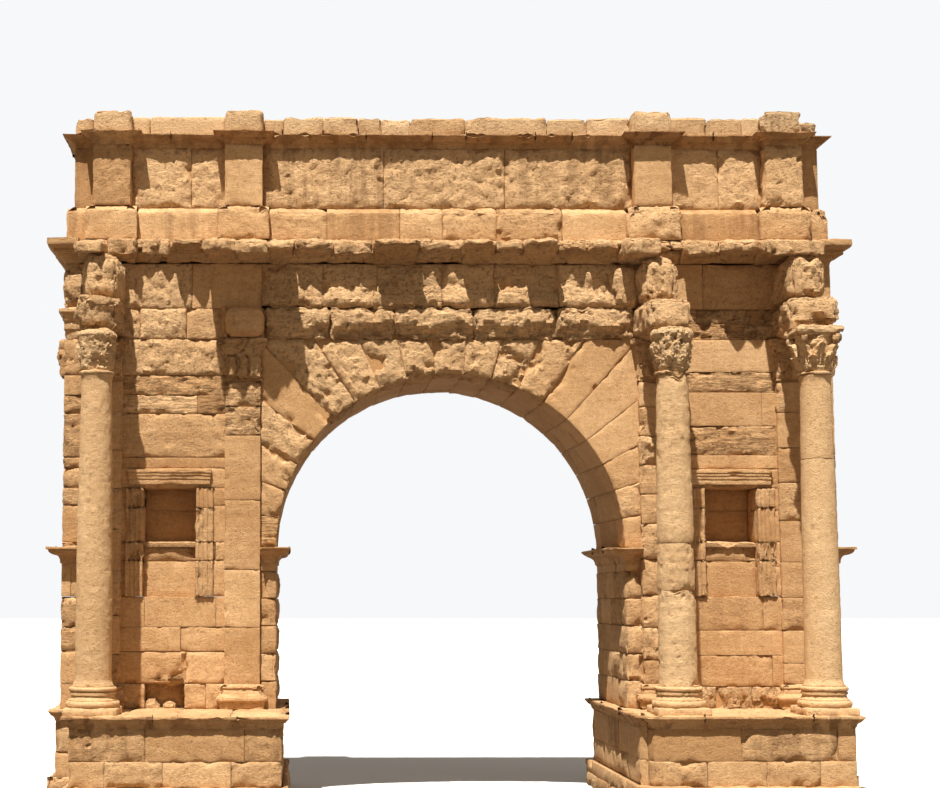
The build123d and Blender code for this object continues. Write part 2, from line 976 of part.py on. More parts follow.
def coping():
    """The stones of the course on top, worn to heights of their own; the right end is broken."""
    length = 2 * attic_half_length / coping_stone_count
    outline = Polyline(
        (attic_half_length - broken_coping_length, coping_top),
        (attic_half_length, coping_top),
        (attic_half_length, coping_top - broken_coping_drop),
        close=True,
    )
    lost = [extrude(Plane.XZ * make_face(outline), well_past, both=True)]
    for x in attic_pilaster_sites:
        lost += [pilaster_coping(x), on_back(pilaster_coping(x))]
    stones = []
    for index in range(coping_stone_count):
        start = -attic_half_length + index * length
        stone = block(
            (start + open_joint / 2, start + length - open_joint / 2),
            (attic_front, attic_back),
            (attic_cornice_top, coping_top - coping_stone_drop * wear(index + 3)),
        )
        stones.append(stone.cut(*lost))
    return group(stones)


# Writing the pieces

def write_side(name, side):
    """The podium and the pier of one side, with what is fixed to them."""
    lost = broken_corner() if side > 0 else None
    die = podium_plan(side, 0.0, (footing_height, podium_cornice_bottom))
    cornice_layer = podium_cornice(side)
    if lost:
        die -= lost
        cornice_layer -= lost
    save(f"podium_footing_{name}", podium_plan(side, footing_step, (0.0, footing_height)))
    save(f"podium_{name}", die)
    save(f"podium_cornice_{name}", cornice_layer)
    save(f"pier_{name}", pier(side))
    save(f"imposts_{name}", group([passage_impost(side), outer_impost(side)]))
    fronts = {
        f"niche_lintels_{name}": [niche_lintel(side)],
        f"niche_jambs_{name}": [niche_jamb(side, hand) for hand in (-1, 1)],
        f"niche_fill_{name}": [niche_fill(side)],
    }
    for node, shapes in fronts.items():
        save(node, group(shapes + [on_back(shape) for shape in shapes]))
    save(f"end_capitals_{name}", group(end_capital(side, back) for back in (False, True)))


def write_arch():
    """The fan of voussoirs, with every second stone in one node."""
    middle = voussoir_count // 2
    save("keystone", voussoir(middle))
    for name, start in (("even", 0), ("odd", 1)):
        stones = [voussoir(i) for i in range(start, voussoir_count, 2) if i != middle]
        save(f"voussoirs_{name}", group(stones))


def write_columns():
    """The three standing columns with the broken blocks over them."""
    base = column_base()
    fresh = capital()
    capitals = {
        "left_outer": worn_round(fresh, 0.93),
        "right_inner": worn_round(fresh, 1.0),
        "right_outer": fresh,
    }
    drum_shares = {"left_outer": [], "right_inner": [0.3, 0.45], "right_outer": [0.72]}
    for name in standing_columns:
        x = column_sites[name]
        save(f"column_base_{name}", Pos(x, column_y, podium_height) * base)
        save(
            f"column_shaft_{name}", Pos(x, column_y, shaft_bottom) * column_shaft(drum_shares[name])
        )
        save(f"capital_{name}", Pos(x, column_y, capital_bottom) * capitals[name])
        save(f"architrave_block_{name}", architrave_block(name))
        save(f"frieze_block_{name}", frieze_block(name))


def write_front_and_back(node, shapes):
    """The same pieces on both faces of the wall, in a node for each face."""
    save(f"{node}_front", group(shapes))
    save(f"{node}_back", group(on_back(shape) for shape in shapes))


def main():
    os.makedirs("parts", exist_ok=True)
    write_side("left", -1)
    write_side("right", 1)
    write_arch()
    write_columns()
    sites = list(column_sites.values())
    write_front_and_back("responds", [respond_strip(x) for x in sites])
    write_front_and_back("respond_feet", [respond_foot(x) for x in sites])
    write_front_and_back("respond_heads", [respond_head(x) for x in sites])
    save("architrave", architrave())
    save("architrave_stones", group(architrave_stone(i) for i in range(architrave_stone_count)))
    save("architrave_stub", architrave_stub())
    save("frieze", frieze())
    save("cornice", cornice())
    save("attic_base", attic_base())
    save("attic_wall", attic_wall())
    save("attic_cornice", attic_cornice())
    save("coping", coping())
    pilasters = [before_attic(x, (attic_base_top, attic_wall_top)) for x in attic_pilaster_sites]
    write_front_and_back("attic_pilasters", pilasters)
    write_front_and_back("pilaster_copings", [pilaster_coping(x) for x in attic_pilaster_sites])


main()
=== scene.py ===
import math

import bpy
import numpy as np
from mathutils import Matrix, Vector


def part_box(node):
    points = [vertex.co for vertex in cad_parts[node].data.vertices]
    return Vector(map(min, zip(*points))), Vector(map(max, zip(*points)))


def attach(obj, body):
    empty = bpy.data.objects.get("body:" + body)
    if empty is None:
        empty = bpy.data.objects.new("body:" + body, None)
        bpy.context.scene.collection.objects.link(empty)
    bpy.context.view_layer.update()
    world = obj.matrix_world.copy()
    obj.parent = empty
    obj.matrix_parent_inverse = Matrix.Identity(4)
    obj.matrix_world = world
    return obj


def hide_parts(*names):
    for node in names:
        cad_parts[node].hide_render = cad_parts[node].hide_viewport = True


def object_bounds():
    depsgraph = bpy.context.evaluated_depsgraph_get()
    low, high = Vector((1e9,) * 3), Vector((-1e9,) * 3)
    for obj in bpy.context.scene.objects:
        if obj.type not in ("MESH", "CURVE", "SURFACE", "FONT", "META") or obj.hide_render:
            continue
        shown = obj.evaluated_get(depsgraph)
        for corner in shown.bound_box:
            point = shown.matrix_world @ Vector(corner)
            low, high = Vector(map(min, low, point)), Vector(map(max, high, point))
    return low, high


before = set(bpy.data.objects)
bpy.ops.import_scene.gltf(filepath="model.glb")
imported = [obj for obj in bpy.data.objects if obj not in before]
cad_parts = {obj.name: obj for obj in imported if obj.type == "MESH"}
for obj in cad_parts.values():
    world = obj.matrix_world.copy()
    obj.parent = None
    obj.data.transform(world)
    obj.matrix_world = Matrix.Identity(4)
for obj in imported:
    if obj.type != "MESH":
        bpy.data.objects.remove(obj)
cad_low, cad_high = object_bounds()

# A ruined triumphal arch of weathered sandstone. Every course is built stone by stone: each stone
# is a grid laid along a path round the masonry, then worn, pitted and broken by seeded noise.
# Lengths are metres in the row frame; places are taken from the CAD nodes.


# Noise

FAR = 9.0
CUBE = [(i, j, k) for i in (0, 1) for j in (0, 1) for k in (0, 1)]


def hashed(x, y, z, seed):
    """A repeatable value from -1 to 1 for each whole place."""
    mixed = (x * 73856093) ^ (y * 19349663) ^ (z * 83492791) ^ (seed * 39916801)
    mixed = (mixed ^ (mixed >> 13)) * 1274126177
    mixed = mixed ^ (mixed >> 16)
    return (mixed & 65535) / 32767.5 - 1.0


def value_noise(points, size, seed):
    """Smooth noise from -1 to 1 whose bumps are about size wide."""
    cell = points / size
    whole = np.floor(cell).astype(np.int64)
    part = cell - whole
    part = part * part * (3 - 2 * part)
    total = np.zeros(len(points))
    for i, j, k in CUBE:
        weight = np.abs(1 - i - part[:, 0]) * np.abs(1 - j - part[:, 1]) * np.abs(1 - k - part[:, 2])
        total += weight * hashed(whole[:, 0] + i, whole[:, 1] + j, whole[:, 2] + k, seed)
    return total


# Between octaves the noise is turned and shifted, so that its grid never shows
OCTAVE_SHIFT = 3.1
OCTAVE_STEP = 2.03
TURN = np.array([[0.80, 0.36, -0.48], [-0.60, 0.48, -0.64], [0.0, 0.80, 0.60]])


def layered(points, size, seed, octaves=3, share=0.5):
    """Noise with finer and finer detail added."""
    total, weight, spread = 0.0, 1.0, 0.0
    turned = points
    for octave in range(octaves):
        turned = turned @ TURN.T + OCTAVE_SHIFT
        total = total + weight * value_noise(turned, size, seed + octave)
        spread += weight
        weight *= share
        size /= OCTAVE_STEP
    return total / spread * 1.5


def cavities(points, size, seed):
    """How deep each point lies in a scatter of round hollows, 0 to 1."""
    cell = points / size
    corner = np.floor(cell - 0.5).astype(np.int64)
    nearest = np.full(len(points), FAR)
    for i, j, k in CUBE:
        x, y, z = corner[:, 0] + i, corner[:, 1] + j, corner[:, 2] + k
        dx = x + 0.5 + 0.38 * hashed(x, y, z, seed) - cell[:, 0]
        dy = y + 0.5 + 0.38 * hashed(x, y, z, seed + 1) - cell[:, 1]
        dz = z + 0.5 + 0.38 * hashed(x, y, z, seed + 2) - cell[:, 2]
        reach = 0.30 + 0.20 * hashed(x, y, z, seed + 3)
        nearest = np.minimum(nearest, (dx * dx + dy * dy + dz * dz) / reach**2)
    return np.clip(1.25 - nearest, 0, 1)


def facets(points, size, seed):
    """Flat chipped faces: each cell has a height and a slope of its own."""
    cell = points / size
    corner = np.floor(cell - 0.5).astype(np.int64)
    nearest = np.full(len(points), FAR)
    height = np.zeros(len(points))
    for i, j, k in CUBE:
        x, y, z = corner[:, 0] + i, corner[:, 1] + j, corner[:, 2] + k
        away = [axis + 0.5 + 0.4 * hashed(x, y, z, seed + n) - cell[:, n] for n, axis in enumerate((x, y, z))]
        far = away[0] ** 2 + away[1] ** 2 + away[2] ** 2
        slope = sum(away[n] * hashed(x, y, z, seed + 5 + n) for n in range(3))
        own = 0.55 * hashed(x, y, z, seed + 9) + 1.1 * slope
        closer = far < nearest
        height = np.where(closer, own, height)
        nearest = np.where(closer, far, nearest)
    return height


def smooth_step(low, high, value):
    part = np.clip((value - low) / (high - low), 0, 1)
    return part * part * (3 - 2 * part)


# Stones

# How a stone's face is weathered: heights in metres, tone 0 dark to 1 light
SMOOTH = dict(rough=0.004, bulge=0.0, wear=0.010, pits=0.003, layers=0.0)
DRESSED = dict(rough=0.009, bulge=0.003, wear=0.018, pits=0.007, layers=0.002)
WORN = dict(rough=0.022, bulge=0.012, wear=0.034, pits=0.016, layers=0.006)
QUARRY = dict(rough=0.044, bulge=0.030, wear=0.040, pits=0.014, layers=0.0)
MOULDED = dict(rough=0.010, bulge=0.0, wear=0.015, pits=0.008, layers=0.0)
BEDDED = dict(rough=0.016, bulge=0.004, wear=0.030, pits=0.006, layers=0.034)
BROKEN = dict(rough=0.060, bulge=0.020, wear=0.060, pits=0.030, layers=0.010)
FIELDS = ["rough", "bulge", "wear", "pits", "layers", "tone", "stain"]

# The columns of the table that holds a piece's points, the style's in the order of FIELDS, and
# the style of the plain dark layers that close the joints from behind, whose low tone is painted shade
BURIED = [0.0] * 5 + [0.12, 0.0]
PLACE, NORMAL, EDGE, STYLE, SEED, DROP = slice(0, 3), slice(3, 6), 6, slice(7, 14), 14, 15
COLUMNS = 16
ROUGH, LAYERS, TONE, STAIN = 7, 11, 12, 13

# Joints: how wide they are, how deep a stone's rim runs back into them, and how far an outer
# corner counts as being from an edge
GAP = 0.007
SKIRT = 0.085
ARRIS = 0.004

# Grid sizes: fine on the front and down to FRONT_REACH behind it, coarse on the back, the ends and
# the top; PLAIN_CELL is for faces without relief
CELL = 0.047
COARSE = 2.1
RIM = (0.010, 0.030)
COARSE_RIM = (0.018,)
PLAIN_CELL = 0.5
FRONT_REACH = 0.13

# Edges over this many degrees shade sharp, and the stones stay this far inside the CAD's box
SHARP = 34
INSIDE_BOX = 0.0005

# How wide the weathering's waves, chips, beds and holes are, and the patches they lie in
WAVE, GRAIN = 0.45, 0.085
CHIP, SPLINTER = 0.19, 0.085
BED, SEAM = 0.055, 0.028
EDGE_CHIP = 0.21
HOLE, HOLE_PATCH = 0.11, 0.4
POCK, POCK_PATCH = 0.055, 0.25
ROUNDING = 0.05


def styled(base, tone=None, **changes):
    """A kind of stone with a tone of its own and with what else is changed."""
    return dict(base, **changes) if tone is None else dict(base, tone=tone, **changes)


PLAIN = styled(SMOOTH, rough=0, wear=0)


class Masonry:
    """Stones gathered into one mesh; each keeps its own tone."""

    def __init__(self, name):
        self.name = name
        self.rows = []
        self.quads = []
        self.count = 0
        self.stones = 0

    def grid(self, points, normals, edge, style, closed=False, skirt=True, core=False, tone=None, seed=None):
        """Adds a grid of points; a skirt runs back from its rim into the joint."""
        n, m = points.shape[:2]
        self.stones += 1
        seed = self.stones * 1.37 + len(self.name) * 0.61 if seed is None else seed
        own = np.random.default_rng(self.stones * 7 + len(self.name) * 131)
        look = {field: style.get(field, 0.0) for field in FIELDS}
        look["tone"] = float(np.clip(style.get("tone", 0.5) + own.normal(0, 0.15), 0.02, 1))
        if tone is not None:
            look["tone"] = tone
        drop = np.zeros((n, m))
        if skirt:
            pad = ((0, 0) if closed else (1, 1), (1, 1))
            points = np.pad(points, pad + ((0, 0),), mode="edge")
            normals = np.pad(normals, pad + ((0, 0),), mode="edge")
            edge = np.pad(edge, pad, mode="edge")
            drop = np.pad(drop, pad, constant_values=SKIRT)
            n, m = points.shape[:2]
        row = np.zeros((n * m, COLUMNS))
        row[:, PLACE] = points.reshape(-1, 3)
        row[:, NORMAL] = normals.reshape(-1, 3)
        row[:, EDGE] = edge.reshape(-1)
        row[:, STYLE] = BURIED if core else list(look.values())
        row[:, SEED] = seed
        row[:, DROP] = drop.reshape(-1)
        ids = self.count + np.arange(n * m).reshape(n, m)
        if closed:
            ids = np.vstack([ids, ids[:1]])
        quads = np.stack([ids[:-1, :-1], ids[1:, :-1], ids[1:, 1:], ids[:-1, 1:]], -1)
        i, j = n // 2 - (n > 2), m // 2 - (m > 2)
        across = points[min(i + 1, n - 1), j] - points[i, j]
        along = points[i, min(j + 1, m - 1)] - points[i, j]
        if np.dot(np.cross(across, along), normals[i, j]) < 0:
            quads = quads[..., ::-1]
        self.rows.append(row)
        self.quads.append(quads.reshape(-1, 4))
        self.count += n * m

    def finish(self, slot, nodes, material):
        """Weathers the stones and makes the piece that stands for the CAD nodes."""
        data = np.concatenate(self.rows)
        points, hollow = weathered(data)
        points = np.clip(points, np.array(cad_low) + INSIDE_BOX, np.array(cad_high) - INSIDE_BOX)
        mesh = bpy.data.meshes.new(self.name)
        quads = np.concatenate(self.quads).astype(np.int32)
        mesh.vertices.add(len(points))
        mesh.vertices.foreach_set("co", points.astype(np.float32).ravel())
        mesh.loops.add(len(quads) * 4)
        mesh.loops.foreach_set("vertex_index", quads.ravel())
        mesh.polygons.add(len(quads))
        mesh.polygons.foreach_set("loop_start", np.arange(len(quads), dtype=np.int32) * 4)
        mesh.update(calc_edges=True)
        # the hollow attribute carries the painted shade worked out in weathered()
        finish = {"tone": data[:, TONE], "stain": data[:, STAIN], "hollow": hollow,
                  "coarse": data[:, ROUGH] / BROKEN["rough"], "beds": data[:, LAYERS] / BEDDED["layers"]}
        for name, values in finish.items():
            layer = mesh.attributes.new(name, "FLOAT", "POINT")
            layer.data.foreach_set("value", values.astype(np.float32))
        mesh.validate()
        mesh.set_sharp_from_angle(angle=math.radians(SHARP))
        mesh.materials.append(material)
        piece = bpy.data.objects.new(self.name, mesh)
        bpy.context.scene.collection.objects.link(piece)
        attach(piece, "root")
        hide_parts(*nodes)


def weathered(data):
    """The worn places of all points, and the hollow value of each: painted shade for the colour, darker in
    pits, grooves and worn edges, under overhangs and down in the joints.
    """
    points, normals = data[:, PLACE], data[:, NORMAL]
    edge, rough, bulge, wear, pits, layers = data[:, EDGE:TONE].T
    seed, drop = data[:, SEED], data[:, DROP]
    own = points + seed[:, None] * np.array([3.7, 5.1, 2.3])
    broad = layered(own, WAVE, 11, 2)
    fine = layered(own, GRAIN, 23, 3, 0.65)
    warped = own + 0.03 * np.stack([fine, broad, -fine], 1)
    chipped = facets(warped, CHIP, 31) + 0.45 * facets(warped, SPLINTER, 43)
    shaped = 1 - np.exp(-edge / ROUNDING)
    # beds run level, drawn out along the stone
    bedding = value_noise(own * [0.16, 0.16, 1.0] + 0.02 * fine[:, None], BED, 37)
    bedding += 0.6 * value_noise(own * [0.3, 0.3, 1.0], SEAM, 41)
    grooves = layers * np.clip(bedding, 0, 1.2)
    hole = cavities(warped, HOLE, 67) * np.clip(layered(own, HOLE_PATCH, 71, 2) - 0.05, 0, 1) * 1.6
    hole += 0.7 * cavities(warped, POCK, 79) * np.clip(layered(own, POCK_PATCH, 83, 2), 0, 1) * 1.4
    # edges are rounded off everywhere and chipped away in places
    chips = np.clip(layered(own, EDGE_CHIP, 53, 3) - 0.10, 0, 1) * 3.0
    loss = wear * (0.30 + chips) * np.exp(-edge / (0.010 + 0.8 * wear * (0.35 + chips)))
    height = bulge * shaped + rough * (0.40 * broad + 0.50 * chipped + 0.42 * fine) * (0.3 + 0.7 * shaped)
    height -= loss + grooves + pits * 1.5 * hole
    height = np.where(drop > 0, -drop, height)
    # painted shade: the colour darkens with the depth of holes, beds and worn edges, on faces that look down,
    # and most on the skirts down in the joints; level tops are darkened a little too
    depth = pits * 0.9 * hole + 0.5 * grooves + 0.12 * loss + rough * 0.14 * np.clip(-fine, 0, 1)
    hollow = np.clip(depth / 0.04, 0, 0.8)
    hollow = np.clip(hollow + 0.30 * np.clip(-normals[:, 2], 0, 1) + 0.16 * (normals[:, 2] > 0.8), 0, 0.85)
    hollow = np.where(drop > 0, 0.9, hollow)
    return points + normals * height[:, None], hollow


def lines_between(start, stop, cell, corners=(), rim=RIM):
    """Grid lines from start to stop, closer together at the ends and at each corner."""
    length = stop - start
    marks = [start, stop]
    for step in rim:
        if length > 5 * step:
            marks += [start + step, stop - step]
    for corner in corners:
        if start + 0.02 < corner < stop - 0.02:
            marks += [corner] + [corner + sign * step for step in rim for sign in (-0.9, 0.9)]
    marks = sorted(m for m in marks if start <= m <= stop)
    filled = [marks[0]]
    for mark in marks[1:]:
        if mark - filled[-1] < 1e-5:
            continue
        pieces = max(1, round((mark - filled[-1]) / cell))
        filled += list(np.linspace(filled[-1], mark, pieces + 1)[1:])
    return np.array(filled)


class Path:
    """A line in plan. The masonry's outside lies on the right of its direction."""

    def __init__(self, corners, closed=False):
        self.points = np.array(corners, float)
        if closed:
            self.points = np.vstack([self.points, self.points[:1]])
        self.closed = closed
        steps = np.diff(self.points, axis=0)
        lengths = np.linalg.norm(steps, axis=1)
        self.steps = steps / lengths[:, None]
        self.out = np.stack([self.steps[:, 1], -self.steps[:, 0]], 1)
        self.marks = np.concatenate([[0], np.cumsum(lengths)])
        self.length = self.marks[-1]
        turns = [np.cross(self.steps[i - 1], self.steps[i]) for i in range(1, len(steps))]
        self.corners = [mark for mark, turn in zip(self.marks[1:], turns) if turn > 0.05]
        self.inside = [mark for mark, turn in zip(self.marks[1:], turns) if turn < -0.05]

    def at(self, u):
        """The places of the path at u, which way is out there, and how near a corner is."""
        u = np.clip(u, 0, self.length)
        index = np.clip(np.searchsorted(self.marks, u, side="right") - 1, 0, len(self.steps) - 1)
        place = self.points[index] + self.steps[index] * (u - self.marks[index])[:, None]
        out = self.out[index].copy()
        for i in range(len(self.marks)):
            before, after = i - 1, i
            if i in (0, len(self.marks) - 1):
                if not self.closed:
                    continue
                before, after = len(self.steps) - 1, 0
            here = np.abs(u - self.marks[i]) < 1e-6
            if here.any():
                a, b = self.out[before], self.out[after]
                out[here] = (a + b) / (1 + a @ b)
        near = np.full(len(u), FAR)
        for corner in self.corners + ([0.0, self.length] if self.closed else []):
            near = np.minimum(near, np.abs(u - corner))
        return place, out, near


def course(z0, z1):
    """The outline of plain stones between two beds."""
    return [(0, z0 + GAP / 2), (0, z1 - GAP / 2)]


def box_path(x0, x1, y0, y1):
    return Path([(x0, y0), (x1, y0), (x1, y1), (x0, y1)], closed=True)


def three_sides(x0, x1, inside, outside):
    """The path round what stands out of a wall, from inside the wall and back into it."""
    line = [(x0, inside), (x0, outside), (x1, outside), (x1, inside)]
    return Path(line if outside < inside else line[::-1])


def round_the_back(right, left):
    """The path from the front's right end round the ends and the back to its left end."""
    return Path([(right, front), (end_x, front), (end_x, back), (-end_x, back), (-end_x, front),
                 (left, front)])


def joints_along(path, length, seed, shift=0.0, keep_off=0.16):
    """Joint places along a path: near-even stones, none close to an outer corner."""
    own = np.random.default_rng(seed)
    fixed = [0.0] + list(path.inside) + [path.length]
    places = []
    for a, b in zip(fixed[:-1], fixed[1:]):
        count = max(1, round((b - a) / length + shift))
        cuts = np.linspace(a, b, count + 1)[1:-1]
        cuts = cuts + own.uniform(-0.22, 0.22, len(cuts)) * (b - a) / count
        for cut in cuts:
            for corner in path.corners:
                if abs(cut - corner) < keep_off:
                    cut = corner + (keep_off if cut >= corner else -keep_off)
            if a + 0.1 < cut < b - 0.1:
                places.append(cut)
        if b < path.length:
            places.append(b)
    return sorted(set(places))


class Outline:
    """A stone in section: (out, height) points from foot to top."""

    def __init__(self, points):
        points = np.array(points, float)
        lengths = np.linalg.norm(np.diff(points, axis=0), axis=1)
        self.points = points[np.concatenate([[True], lengths > 1e-6])]
        self.steps = np.diff(self.points, axis=0)
        self.lengths = np.linalg.norm(self.steps, axis=1)
        self.marks = np.concatenate([[0], np.cumsum(self.lengths)])
        self.facing = np.stack([self.steps[:, 1], -self.steps[:, 0]], 1) / self.lengths[:, None]

    def bends(self):
        """Where it bends sharply, and which of those bends are outer ones."""
        sharp = [i for i in range(1, len(self.steps)) if self.facing[i - 1] @ self.facing[i] < 0.75]
        outer = [self.marks[i] for i in sharp if np.cross(self.steps[i - 1], self.steps[i]) > 0]
        return [self.marks[i] for i in sharp], outer

    def rows(self, cell, bends=(), rim=RIM):
        """Grid lines up the outline: how far along each lies, its (out, height), its facing."""
        v = lines_between(0, self.marks[-1], cell, bends, rim)
        v = np.unique(np.concatenate([v, self.marks]))
        v = v[np.concatenate([[True], np.diff(v) > 1e-5])]
        where = np.clip(np.searchsorted(self.marks, v, side="right") - 1, 0, len(self.steps) - 1)
        beyond = (v - self.marks[where])[:, None]
        spot = self.points[where] + beyond * self.steps[where] / self.lengths[where][:, None]
        face = self.facing[where].copy()
        for i in range(1, len(self.steps)):
            here = np.abs(v - self.marks[i]) < 1e-6
            mean = self.facing[i - 1] + self.facing[i]
            face[here] = mean / max(np.linalg.norm(mean), 0.3)
        return v, spot, face


def swept(place, out, spot, face):
    """Points and normals of an outline that is set up at each place of a path."""
    points = np.empty((len(place), len(spot), 3))
    points[..., :2] = place[:, None, :] + out[:, None, :] * spot[None, :, 0:1]
    points[..., 2] = spot[None, :, 1]
    normals = np.empty_like(points)
    normals[..., :2] = out[:, None, :] * face[None, :, 0:1]
    normals[..., 2] = face[None, :, 1]
    return points, normals


def style_of(styles, number, place):
    """One style for all, one of a list in turn, or a function's answer for the place."""
    if callable(styles):
        return styles(*place)
    if isinstance(styles, (list, tuple)):
        return styles[number % len(styles)]
    return styles


def run(mass, path, profile, styles, joints=(), cell=CELL, cell_up=None, core=0.05, gap=GAP, caps=None,
        rim=None):
    """Stones along a path, parted at the joints. The profile is their outline, caps the style of the
    two ends, and core how far behind their faces a plain dark layer closes the joints; its dark tone is
    painted shade in them."""
    outline = Outline(profile)
    bends, outer_bends = outline.bends()

    def upward(size, rims):
        v, spot, face = outline.rows(size, bends, rims)
        bend_gap = np.full(len(v), FAR)
        for bend in outer_bends:
            bend_gap = np.minimum(bend_gap, np.abs(v - bend) + ARRIS)
        return spot, face, np.minimum(np.minimum(v, outline.marks[-1] - v), bend_gap)

    cell_up = cell_up or cell
    fine, coarse = upward(cell_up, rim or RIM), upward(cell_up * COARSE, rim or COARSE_RIM)
    whole = path.closed and not joints
    turns = list(path.corners) + list(path.inside)
    if path.closed:
        turns = turns + [0.0, path.length] + [t + path.length for t in turns] + [2 * path.length]
    ends = [0.0] + list(joints) + [path.length]
    if path.closed and joints:
        ends = list(joints) + [joints[0] + path.length]
    for number, (a, b) in enumerate(zip(ends[:-1], ends[1:])):
        middle = (a + b) / 2 % path.length if path.closed else (a + b) / 2
        place = path.at(np.array([middle]))[0][0]
        style = style_of(styles, number, place)
        start, stop = (a, b) if whole else (a + gap / 2, b - gap / 2)
        seen = whole or place[1] < front + FRONT_REACH
        spot, face, v_edge = fine if seen else coarse
        u = lines_between(start, stop, cell * (1 if seen else COARSE), turns,
                          rim or (RIM if seen else COARSE_RIM))
        if whole:
            u = u[:-1]
        place, out, near = path.at(np.where(u > path.length + 1e-9, u - path.length, u))
        points, normals = swept(place, out, spot, face)
        u_edge = np.full(len(u), FAR) if whole else np.minimum(u - start, stop - u)
        edge = np.minimum(u_edge[:, None], v_edge[None, :])
        edge = np.minimum(edge, near[:, None] + ARRIS)
        mass.grid(points, normals, edge, style, closed=whole)
    spot, face, v_edge = coarse
    if caps and not path.closed:
        for at_start in (True, False):
            place, out, near = path.at(np.array([0.0 if at_start else path.length]))
            direction = -path.steps[0] if at_start else path.steps[-1]
            share = np.linspace(0, 1, max(3, round(spot[:, 0].max() / 0.06)))
            points = np.empty((len(share), len(spot), 3))
            points[..., :2] = place[0] + out[0] * (share[:, None] * spot[None, :, 0])[..., None]
            points[..., 2] = spot[None, :, 1]
            normals = np.zeros_like(points)
            normals[..., :2] = direction
            edge = (1 - share)[:, None] * np.maximum(spot[None, :, 0], 0.01)
            mass.grid(points, normals, np.minimum(edge, 0.2), caps, skirt=False)
    if core:
        place, out, near = path.at(lines_between(0, path.length, 0.8, path.corners + path.inside, ()))
        pick = np.unique(np.concatenate([np.arange(0, len(spot), 4), [len(spot) - 1]]))
        points, normals = swept(place, out, (spot - face * core)[pick], face[pick])
        mass.grid(points, normals, np.full(points.shape[:2], FAR), {}, skirt=False, core=True)


# What slab() takes for a face that looks up; turned round, it looks down
LEVEL = (1, 0, 0), (0, 1, 0)


def slab(mass, corner, across, along, width, length, style, cell=0.08, cuts=(1, 1)):
    """A flat face cut into stones; it faces across x along."""
    corner, across, along = (np.array(v, float) for v in (corner, across, along))
    normal = np.cross(across, along)
    for i in range(cuts[0]):
        for j in range(cuts[1]):
            u0, u1 = width * i / cuts[0] + GAP / 2, width * (i + 1) / cuts[0] - GAP / 2
            v0, v1 = length * j / cuts[1] + GAP / 2, length * (j + 1) / cuts[1] - GAP / 2
            u, v = lines_between(u0, u1, cell, (), COARSE_RIM), lines_between(v0, v1, cell, (), COARSE_RIM)
            points = corner + across * u[:, None, None] + along * v[None, :, None]
            edge = np.minimum(
                np.minimum(u - u0, u1 - u)[:, None], np.minimum(v - v0, v1 - v)[None, :]
            )
            mass.grid(points, np.broadcast_to(normal, points.shape).copy(), edge, style)


def boulder(mass, low, high, radius, style, cell=CELL, shape=None, hidden=()):
    """A free stone: a box with rounded edges, cut to a shape, worn on all sides. Sides that lie
    inside the masonry are named as (axis, sign) and left out."""
    low, high = np.array(low, float), np.array(high, float)
    half, middle = (high - low) / 2, (high + low) / 2
    radius = min(radius, 0.98 * half.min())
    own = np.random.default_rng(mass.stones * 7 + len(mass.name) * 131 + 5)
    tone = float(np.clip(style.get("tone", 0.5) + own.normal(0, 0.10), 0.02, 1))
    seed = (mass.stones + 1) * 1.37
    bow = math.pi / 2 * 0.9
    for axis in range(3):
        for sign in (-1, 1):
            if (axis, sign) in hidden:
                continue
            a, b = [k for k in range(3) if k != axis]
            counts = [max(4, round(2 * half[k] / cell)) for k in (a, b)]
            s, t = (np.sin(np.linspace(-1, 1, count + 1) * bow) / math.sin(bow) for count in counts)
            flat = np.empty((len(s), len(t), 3))
            flat[..., a] = s[:, None] * half[a]
            flat[..., b] = t[None, :] * half[b]
            flat[..., axis] = sign * half[axis]
            inner = np.clip(flat, radius - half, half - radius)
            gap = flat - inner
            normals = gap / np.linalg.norm(gap, axis=-1, keepdims=True)
            points = middle + inner + normals * radius
            room = np.sort(half - np.abs(flat), axis=-1)[..., 1]
            if shape:
                points, normals = shape(points, normals)
            mass.grid(points, normals, room + 0.01, style, skirt=False, tone=tone, seed=seed)


def turned(mass, centre, profile, style, segments=96, cell_up=0.04, ripple=None):
    """A turned stone round a vertical axis; the profile is (radius, height) points."""
    outline = Outline(profile)
    v, spot, face = outline.rows(cell_up)
    angles = np.linspace(0, 2 * math.pi, segments, endpoint=False)
    ray = np.stack([np.cos(angles), np.sin(angles)], 1)
    radius = np.broadcast_to(spot[None, :, 0], (segments, len(v))).copy()
    if ripple is not None:
        # a ripple dies out towards the axis, so that a rounded top stays closed
        radius = radius + ripple(angles[:, None], spot[None, :, 1]) * np.clip(spot[None, :, 0] / 0.2, 0, 1)
    points = np.empty((segments, len(v), 3))
    points[..., :2] = np.array(centre) + ray[:, None, :] * radius[..., None]
    points[..., 2] = spot[None, :, 1]
    normals = np.empty_like(points)
    normals[..., :2] = ray[:, None, :] * face[None, :, 0:1]
    normals[..., 2] = face[None, :, 1]
    edge = np.broadcast_to(np.minimum(v, outline.marks[-1] - v)[None, :], radius.shape)
    mass.grid(points, normals, edge.copy(), style, closed=True, skirt=False)


def moulding(shares, height, overhang, out, z, parts=4):
    """The outline of a moulding: members as (kind, share of the rise, share of the overhang)."""
    outline = [(out, z)]
    for kind, rise, run_share in shares:
        rise, across = rise * height, run_share * overhang
        for part in range(1, parts + 1) if kind != "line" else (1,):
            t = part / parts * math.pi / 2 if kind != "line" else math.pi / 2
            if kind == "hollow":
                outline.append((out + across * (1 - math.cos(t)), z + rise * math.sin(t)))
            elif kind == "round":
                outline.append((out + across * math.sin(t), z + rise * (1 - math.cos(t))))
            elif kind == "torus":
                s = math.pi * part / parts
                outline.append((out + rise / 2 * math.sin(s), z + rise / 2 * (1 - math.cos(s))))
            else:
                outline.append((out + across, z + rise))
        out, z = out + across, z + rise
    return outline


